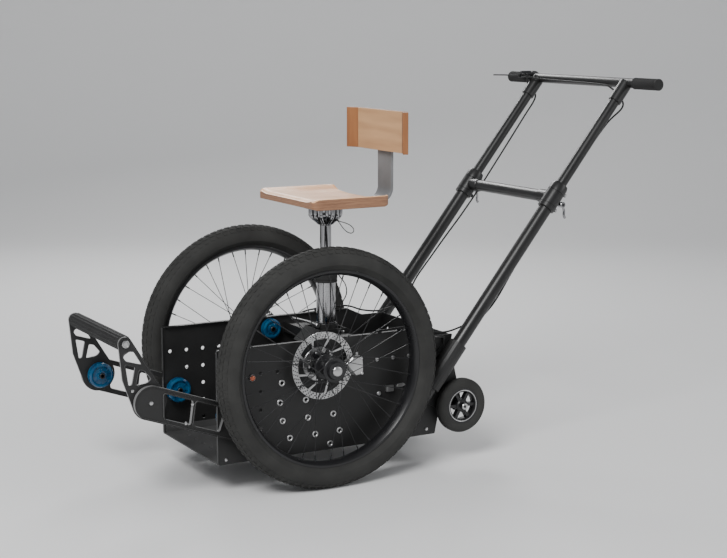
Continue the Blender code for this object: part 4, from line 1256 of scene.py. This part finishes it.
# %% Brake lever
body = turned([(0.0143, -0.2485), (0.02, -0.2485), (0.021, -0.2475), (0.021, -0.2345), (0.02, -0.2335),
               (0.0143, -0.2335)], (BAR_X, 0, BAR_Z), steps=40, closed=True)
rod((BAR_X + 0.01, -0.241, BAR_Z + 0.012), (BAR_X + 0.044, -0.2469, BAR_Z + 0.012), 0.0098, 32, chamfer=0.0016,
    mesh=body)
rod((BAR_X - 0.015, -0.241, BAR_Z - 0.0085), (BAR_X - 0.015, -0.241, BAR_Z + 0.0085), 0.0052, 20, chamfer=0.0008,
    mesh=body)
piece("lever_clamp", body, black_hub, "upper_handle", ["brake_lever_body"])
blade_path = [(0.045, -0.244), (0.05, -0.256), (0.052, -0.274), (0.0515, -0.296), (0.056, -0.312),
              (0.069, -0.327), (0.083, -0.3385)]
BLADE_STEPS = 30
centre_line = smooth_path([(BAR_X + px, py, 0) for px, py in blade_path], BLADE_STEPS)
outline, back = [], []
for k, point in enumerate(centre_line):
    last = BLADE_STEPS - 1
    ahead = centre_line[min(k + 1, last)] - centre_line[max(k - 1, 0)]
    across = Vector((ahead.y, -ahead.x)).normalized() * (0.0042 - 0.001 * k / last)
    outline.append((point.x + across.x, point.y + across.y))
    back.append((point.x - across.x, point.y - across.y))
blade = plate(outline + back[::-1], (BAR_Z + 0.0052, BAR_Z + 0.0088), plane='XY')
rod((BAR_X + 0.046, -0.25, BAR_Z + 0.002), (BAR_X + 0.046, -0.25, BAR_Z + 0.012), 0.004, 20, chamfer=0.0006,
    mesh=blade)
piece("lever_blade", blade, tube_coat, "brake_lever", ["brake_lever"], bevel=0.0006)
print("handle done")

# %% [markdown]
# ## Brake hoses
# The hoses are held all the way, so each follows one fixed route. From the lever they run down
# beside the tubes, along the panels' top edges and down to the calipers; the left one first
# crosses in front of the handlebar. Where the handle slides, the hose would have to shorten;
# here it rides on no body and keeps its one route.

# %% Hose route
def hose_route(side):
    if side < 0:
        start = [(0.032, -0.2332, 0.012), (0.032, -0.2275, 0.0105), (0.03, -0.2275, 0.0),
                 (0.022, -0.2385, -0.018), (0.0, -0.2345, -0.042), (0.01, -0.219, -0.066)]
    else:
        start = [(0.044, -0.235, 0.012), (0.044, -0.2285, 0.011), (0.041, -0.22, 0.006),
                 (0.031, -0.195, 0.001), (0.02, -0.13, -0.002), (0.019, 0.0, -0.004),
                 (0.019, 0.13, -0.007), (0.019, 0.165, -0.014), (0.01, 0.185, -0.03),
                 (-0.002, 0.193, -0.048), (0.008, 0.206, -0.072)]
    route = [(BAR_X + x, y, BAR_Z + z) for x, y, z in start]
    route += [on_tube(side, *p) for p in ((0.94, 0.026, 0.01), (0.87, 0.025, 0.016), (0.8, 0.026, 0.018),
                                          (0.722, 0.026, 0.021), (0.65, 0.026, 0.018), (0.59, 0.025, 0.012),
                                          (0.53, 0.025, 0.006), (0.46, 0.026, 0.0))]
    end = [(-0.508, 0.196, 0.398), (-0.472, 0.1855, 0.382), (-0.405, 0.184, 0.3655), (-0.345, 0.184, 0.372),
           (-0.29, 0.184, 0.3895), (-0.215, 0.1845, 0.39), (-0.16, 0.192, 0.385), (-0.123, 0.202, 0.366),
           (-0.106, 0.206, 0.346), (-0.106, 0.206, 0.337)]
    return route + [at(x, side * y, z) for x, y, z in end]


for word, side in SIDES.items():
    hose = tube_along(smooth_path(hose_route(side), 260), 0.0025, 12)
    made = piece(word + "_hose", hose, hose_rubber, None, [word + "_brake_hose"])
    tuple(on_tube(side, 0.64))
    tuple(on_tube(side, 0.975))
    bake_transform(made)
    clips = bmesh.new()
    for x, z in ((-0.25, 0.3895), (-0.19, 0.389)):
        block(at(x - 0.005, side * 0.1815, z - 0.0065), at(x + 0.005, side * 0.1868, z + 0.0035), clips)
    piece(word + "_hose_clips", clips, black_hub, "frame", bevel=0.0008)
    banjo = rod(at(-0.106, side * 0.206, 0.3335), at(-0.106, side * 0.206, 0.344), 0.005, 20, chamfer=0.0008)
    piece(word + "_banjo", banjo, steel, "frame")
print("hoses done")

# %% [markdown]
# ## Seat column
# The column is a chromed outer pipe with a locking collar. The polished post slides in it and ends
# in a fluted hub that carries the seat plate, so the flutes are one rib repeated round a cone.

# %% Column, collar and post
POST = joint_at("seat_swivel")
AXIS = (POST.x, 0, 0)
COLLAR_LOW = 0.502
column = [(0, 0.215), (0.0255, 0.215), (0.0265, 0.216), (0.0265, 0.39), (0.0258, 0.3908), (0.0258, 0.3932),
          (0.0265, 0.394), (0.0265, 0.505), (0.0255, 0.506), (0.0163, 0.506), (0.0163, 0.221), (0, 0.221)]
piece("column_pipe", turned(column, AXIS, 'Z', 64), painted_reflection_chrome, "frame", ["seat_column"])
collar = [(0.0268, 0), (0.0312, 0), (0.0322, 0.001), (0.0322, 0.005), (0.0308, 0.006), (0.0308, 0.0075),
          (0.0322, 0.0085), (0.0328, 0.0235), (0.0318, 0.025), (0.0298, 0.0288), (0.0178, 0.029), (0.0163, 0.0275),
          (0.0163, 0.0043), (0.0268, 0.0043)]
collar = [(radius, COLLAR_LOW + height) for radius, height in collar]
piece("locking_collar", turned(collar, AXIS, 'Z', 64, closed=True), grip_rubber, "frame", ["column_collar"])
post = [(0, 0.365), (0.0148, 0.365), (0.0155, 0.3658), (0.0155, 0.659), (0, 0.659)]
piece("post_pipe", turned(post, AXIS, 'Z', 64), painted_reflection_chrome, "seat_post", ["seat_post"])

# %% [markdown]
# The base that holds the column is a welded box between the panels, with a sloping gusset before
# and behind the pipe. A lever on it releases the column, and a thin black wire hangs from the
# collar beside the pipe.

# %% Seat base
def box_outline(half_x, half_y):
    return [(POST.x + a * half_x, b * half_y) for a, b in ((-1, -1), (1, -1), (1, 1), (-1, 1))]


bore = circle((POST.x, 0), 0.0267, 48)
base = plate(box_outline(0.04, INNER), (0.333, 0.362), [bore], 'XY')
plate(box_outline(0.046, 0.045), (0.3619, 0.365), [bore], 'XY', base)
cheek = [(-0.105, 0.34), (-0.04, 0.376), (0.04, 0.376), (0.08, 0.34)]
front = [(-0.105, 0.34), (-0.04, 0.376), (-0.038, 0.3735), (-0.1, 0.339)]
rear = [(0.08, 0.34), (0.04, 0.376), (0.037, 0.3735), (0.076, 0.339)]
for outline, depth in ((cheek, (-0.045, -0.042)), (cheek, (0.042, 0.045)), (front, (-0.045, 0.045)),
                       (rear, (-0.045, 0.045))):
    plate([(POST.x + x, z) for x, z in outline], depth, mesh=base)
piece("column_base", base, black_coat, "frame", ["seat_base"], bevel=0.0008)
sleeve = [(0.0268, 0.3645), (0.035, 0.3645), (0.035, 0.3665), (0.031, 0.37), (0.0305, 0.386), (0.0268, 0.387)]
piece("column_sleeve", turned(sleeve, AXIS, 'Z', 64, closed=True), black_coat, "frame")
base_bolts = [Vector((POST.x + dx, dy, 0.365)) for dx in (-0.036, 0.036) for dy in (-0.036, 0.036)]
bolt = turned([(0, -0.001), (0.006, -0.001), (0.006, 0.003), (0.0045, 0.0042), (0, 0.0042)], (0, 0, 0), 'Z', 6)
scattered("base_bolts", bolt, base_bolts, steel, "frame")

pivot = joint_at("column_lever_open")
lever = barrel(pivot, 0.008, 0.006, 32, 0.0008)
reach = [(0, 0, 0), (0.022, 0.0022, 0.011), (0.052, 0.0056, 0.0215), (0.08, 0.009, 0.03)]
tube_along(smooth_path([pivot + Vector(p) for p in reach], 16), 0.004, 12, mesh=lever)
piece("column_release", lever, steel, "column_lever", ["column_lever"])
bolts("gusset_bolts", 0.0052, [(-0.152, 0.3655), (-0.096, 0.3655)], 1, 0.045)
cable = [(-0.026, 0.019, 0.026), (-0.034, 0.022, 0.014), (-0.05, 0.022, -0.008), (-0.054, 0.02, -0.034),
         (-0.04, 0.02, -0.06), (-0.031, 0.02, -0.085)]
cable = smooth_path([Vector((POST.x + cx, cy, 0.5 + cz)) for cx, cy, cz in cable], 40)
piece("collar_cable", tube_along(cable, 0.0016, 8), hose_rubber, "frame")
print("column done")

# %% [markdown]
# The hub that carries the seat plate is a fluted casting on top of the post, and a loop of wire
# hanging from it lifts the gas spring's button. The flutes are one swept rib that `ring` repeats,
# and the loop is a tube swept along a closed, drop-shaped path.

# %% Fluted hub and lift lever
HUB_TOP = 0.712
hub_shape = [(0, 0.6593), (0.015, 0.6593), (0.018, 0.6605), (0.019, 0.664), (0.0205, 0.667), (0.026, 0.673),
             (0.0345, 0.68), (0.0385, 0.686), (0.04, 0.691), (0.04, HUB_TOP - 0.007),
             (0.04, HUB_TOP - 0.0045), (0.06, HUB_TOP - 0.0045), (0.0615, HUB_TOP - 0.0035),
             (0.0615, HUB_TOP - 0.0005), (0.0605, HUB_TOP), (0, HUB_TOP)]
piece("hub_cone", turned(hub_shape, AXIS, 'Z', 64), painted_reflection_chrome, "seat", ["seat_hub"])
flute_path = [(0.0185, 0.665), (0.027, 0.673), (0.036, 0.68), (0.0405, 0.6855), (0.0422, 0.691),
              (0.0422, 0.705)]
flute = tube_along(smooth_path([(POST.x + r, 0, z) for r, z in flute_path], 16), 0.005, 10)
ringed("hub_flutes", flute, 16, (POST.x, 0, 0), (0, 0, 1), painted_reflection_chrome, "seat")

root = joint_at("lift_lever_pull")
tip = at(-0.1777, 0.06, 0.6433)
axis = (tip - root).normalized()
across = axis.cross(Vector((0.49, 0.86, 0.16))).normalized()      # the loop's face looks forward and left
half_loop = [(0.22, 0.0022), (0.45, 0.007), (0.72, 0.0098), (0.93, 0.007)]
loop = [(0, 0), *half_loop, (1, 0), *flipped(reversed(half_loop), -1)]
reach = (tip - root).length
wire = [root + axis * (reach * a) + across * b for a, b in loop]
piece("lift_wire", tube_along(smooth_path([*wire, wire[0] + across * 0.0003], 64), 0.0012, 8), black_hub,
      "lift_lever", ["lift_lever"])
print("hub done")

# %% [markdown]
# ## Seat board
# The board is bent plywood: a pale face hollowed for the rider, raised side edges, a front edge
# that rolls down and a dished rear edge. Its sides and underside show the darker plies. The board is one grid of
# points for the top and one for the underside, so its height can be written as a function.

# %% Seat board
BOARD_X, BOARD_TOP, BOARD_LOW = POST.x + 0.008, 0.752, 0.722
DEPTH, WIDTH = 0.228, 0.338


def soft_step(low, high, value):
    t = min(1.0, max(0.0, (value - low) / (high - low)))
    return t * t * (3 - 2 * t)


def board_top(back, across):
    """Height of the top: hollow between raised sides, rolled down at the front, dished at the rear."""
    side = abs(across)
    hollow = soft_step(1.0, 0.72, side) * min(1.0, 0.3 + back * 1.1)
    front_roll = 0.0075 * (1 - soft_step(0.0, 0.085, back)) ** 2
    rear_dish = 0.0035 * soft_step(0.9, 1.0, back) * soft_step(0.85, 0.3, side)
    edge_round = 0.0022 * soft_step(0.965, 1.0, side)
    return BOARD_TOP - 0.013 * hollow - front_roll - rear_dish - edge_round


def board_low(back, across):
    """The underside follows the ends: it lifts at the rear corners and at the front."""
    return BOARD_LOW + 0.006 * soft_step(0.93, 1.0, back) * soft_step(0.0, 1.0, abs(across)) \
        + 0.003 * (1 - soft_step(0.0, 0.05, back))


def board_place(back, across):
    """Squeeze the grid's corners so that the plan has round corners."""
    corner = 0.014
    x, y = DEPTH * (0.5 - back), WIDTH / 2 * across
    over = max(0.0, abs(x) - (DEPTH / 2 - corner))
    cut = corner - sqrt(max(0.0, corner ** 2 - over ** 2))
    return BOARD_X + x, y * (1 - cut / (WIDTH / 2) * abs(across))


FACE, SIDE = 0, 1                                   # slots: pale face veneer, darker wood at edges, and painted shade on the backrest's bent ends
board = bmesh.new()
rows_x = [0, 0.008, 0.02, 0.035, 0.05, 0.07, *[0.1 + 0.8 * i / 24 for i in range(25)], 0.93, 0.96, 0.98, 0.992, 1]
rows_y = [-1, -0.992, -0.98, -0.965, *[-0.94 + 1.88 * i / 44 for i in range(45)], 0.965, 0.98, 0.992, 1]
layers = []
for height in (board_top, board_low):
    layers.append([[board.verts.new((*board_place(a, b), height(a, b))) for b in rows_y] for a in rows_x])
for layer in layers:
    for one, two in zip(layer, layer[1:]):
        for k in range(len(one) - 1):
            board.faces.new((one[k], two[k], two[k + 1], one[k + 1]))
edge_loops = [[row[0] for row in grid] + grid[-1][1:] + [row[-1] for row in grid[-2::-1]] + grid[0][-2:0:-1]
              for grid in layers]
skin(board, edge_loops, False)
bmesh.ops.recalc_face_normals(board, faces=board.faces)
for face in board.faces:
    face.material_index = FACE if face.normal.z > 0.35 else SIDE
finish_piece("seat_ply", to_data("seat_ply", board), [seat_veneer, edge_wood], "seat", ["seat_board"], angle=50)
print("seat board done")

# %% [markdown]
# ## Back bar and backrest
# A flat steel bar runs under the board and bends up behind it. The backrest is thin ply bolted to
# the bar, with its two ends bent forward. They are given a deeper brown than its face, as painted shade.

# %% Back bar and backrest
BAR_FACE = AXLE.x - 0.31
bar_top = BOARD_LOW - 0.0003
centre = (BAR_FACE + 0.034, bar_top + 0.034)
bar_line = [(POST.x + 0.08, bar_top), *arc(centre, 0.034, 270, 180, 16), (BAR_FACE, 0.955),
            (BAR_FACE - 0.008, 0.955), *arc(centre, 0.042, 180, 270, 16), (POST.x + 0.08, bar_top - 0.008)]
piece("back_strap", plate(bar_line, (-0.037, 0.037)), grey_paint, "seat", ["back_bar"], bevel=0.0012)

FLAT, WING, TURN, BEND_RADIUS, PLY = 0.1245, 0.037, radians(30), 0.02, 0.015
rear, front = BAR_FACE + 0.0003, BAR_FACE + 0.0153


def backrest_half():
    """Plan of one half: flat, then a short bend, then the wing."""
    inner, outer = [], []
    pivot = Vector((front + BEND_RADIUS, FLAT - BEND_RADIUS * tan(TURN / 2)))
    for i in range(7):
        turn = TURN * i / 6
        inner.append(pivot + BEND_RADIUS * Vector((-cos(turn), sin(turn))))
        outer.append(pivot + (BEND_RADIUS + PLY) * Vector((-cos(turn), sin(turn))))
    along = Vector((sin(TURN), cos(TURN)))
    length = WING - BEND_RADIUS * tan(TURN / 2) - 0.0004
    inner.append(inner[-1] + along * length)
    outer.append(outer[-1] + along * length)
    return [tuple(p) for p in inner] + [tuple(p) for p in reversed(outer)]


half_plan = backrest_half()
plan = half_plan + [(x, -y) for x, y in reversed(half_plan)]
rest = plate(plan, (0.857, 0.97), plane='XY')
bmesh.ops.recalc_face_normals(rest, faces=rest.faces)
for face in rest.faces:
    middle, normal = face.calc_center_median(), face.normal
    on_wing = abs(middle.y) > FLAT - 0.004
    # the bent ends take the darker wood as painted shade; the top and bottom cut edges take it as ply edge
    face.material_index = SIDE if on_wing or abs(normal.z) > 0.5 else FACE
finish_piece("back_ply", to_data("back_ply", rest), [face_veneer, edge_and_painted_shade_wood], "seat", ["backrest"], bevel=0.0014)
back_bolts = [Vector((BAR_FACE - 0.008, y, z)) for y in (-0.022, 0.022) for z in (0.885, 0.94)]
bolt = turned([(0, 0.001), (0.0055, 0.001), (0.005, -0.0018), (0.003, -0.003), (0, -0.003)], (0, 0, 0), 'Z', 16,
              turn=BACKWARDS)
scattered("back_bolts", bolt, back_bolts, steel, "seat")
print("seat done")

# %% [markdown]
# ## The remaining CAD parts
# The handle sockets keep their CAD shape and get the frame's finish. Around them go a few bought
# parts: a side reflector, a tie-down fitting and the small bracket behind the wheel.

# %% Sockets and fittings
BEZEL = [(0.007, -0.0005), (0.0092, -0.0005), (0.0092, 0.003), (0.0078, 0.0042), (0.007, 0.003)]
LENS_SHAPE = [(0, -0.0005), (0.0072, -0.0005), (0.0072, 0.0026), (0.005, 0.0042), (0, 0.0048)]
for word, side in SIDES.items():
    for slot in frame["nodes"][word + "_handle_socket"].material_slots:
        slot.material = black_coat
    bolts(word + "_socket_bolts", 0.005, [(-0.34, 0.2), (-0.34, 0.25), (-0.4, 0.325)], side, PANEL + 0.0053)
    bracket = plate(rounded(placed([(-0.35, 0.3), (-0.35, 0.357), (-0.392, 0.357), (-0.392, 0.3)]), 0.003),
                    (side * (PANEL + 0.0003), side * (PANEL + 0.009)),
                    [rounded(placed([(-0.355, 0.308), (-0.355, 0.352), (-0.386, 0.352), (-0.386, 0.308)]), 0.003)])
    piece(word + "_bracket", bracket, black_coat, "frame", bevel=0.0008)
    fitting = block(at(-0.228, side * PANEL, 0.2205), at(-0.206, side * (PANEL + 0.009), 0.2365))
    rod(at(-0.184, side * PANEL, 0.218), at(-0.184, side * (PANEL + 0.006), 0.218), 0.0062, 24, chamfer=0.0014,
        mesh=fitting)
    tongue = placed([(-0.238, 0.229), (-0.244, 0.237), (-0.262, 0.2385), (-0.268, 0.233), (-0.258, 0.2285)])
    plate(rounded(tongue, 0.003), (side * PANEL, side * (PANEL + 0.005)), mesh=fitting)
    piece(word + "_tie_down", fitting, aluminium, "frame", bevel=0.0012)
    middle = at(0.192, side * PANEL, 0.303)
    piece(word + "_reflector_bezel", turned(flipped(BEZEL, side), middle, steps=32, closed=True), steel, "frame")
    piece(word + "_reflector", turned(flipped(LENS_SHAPE, side), middle, steps=32), amber_lens, "frame")
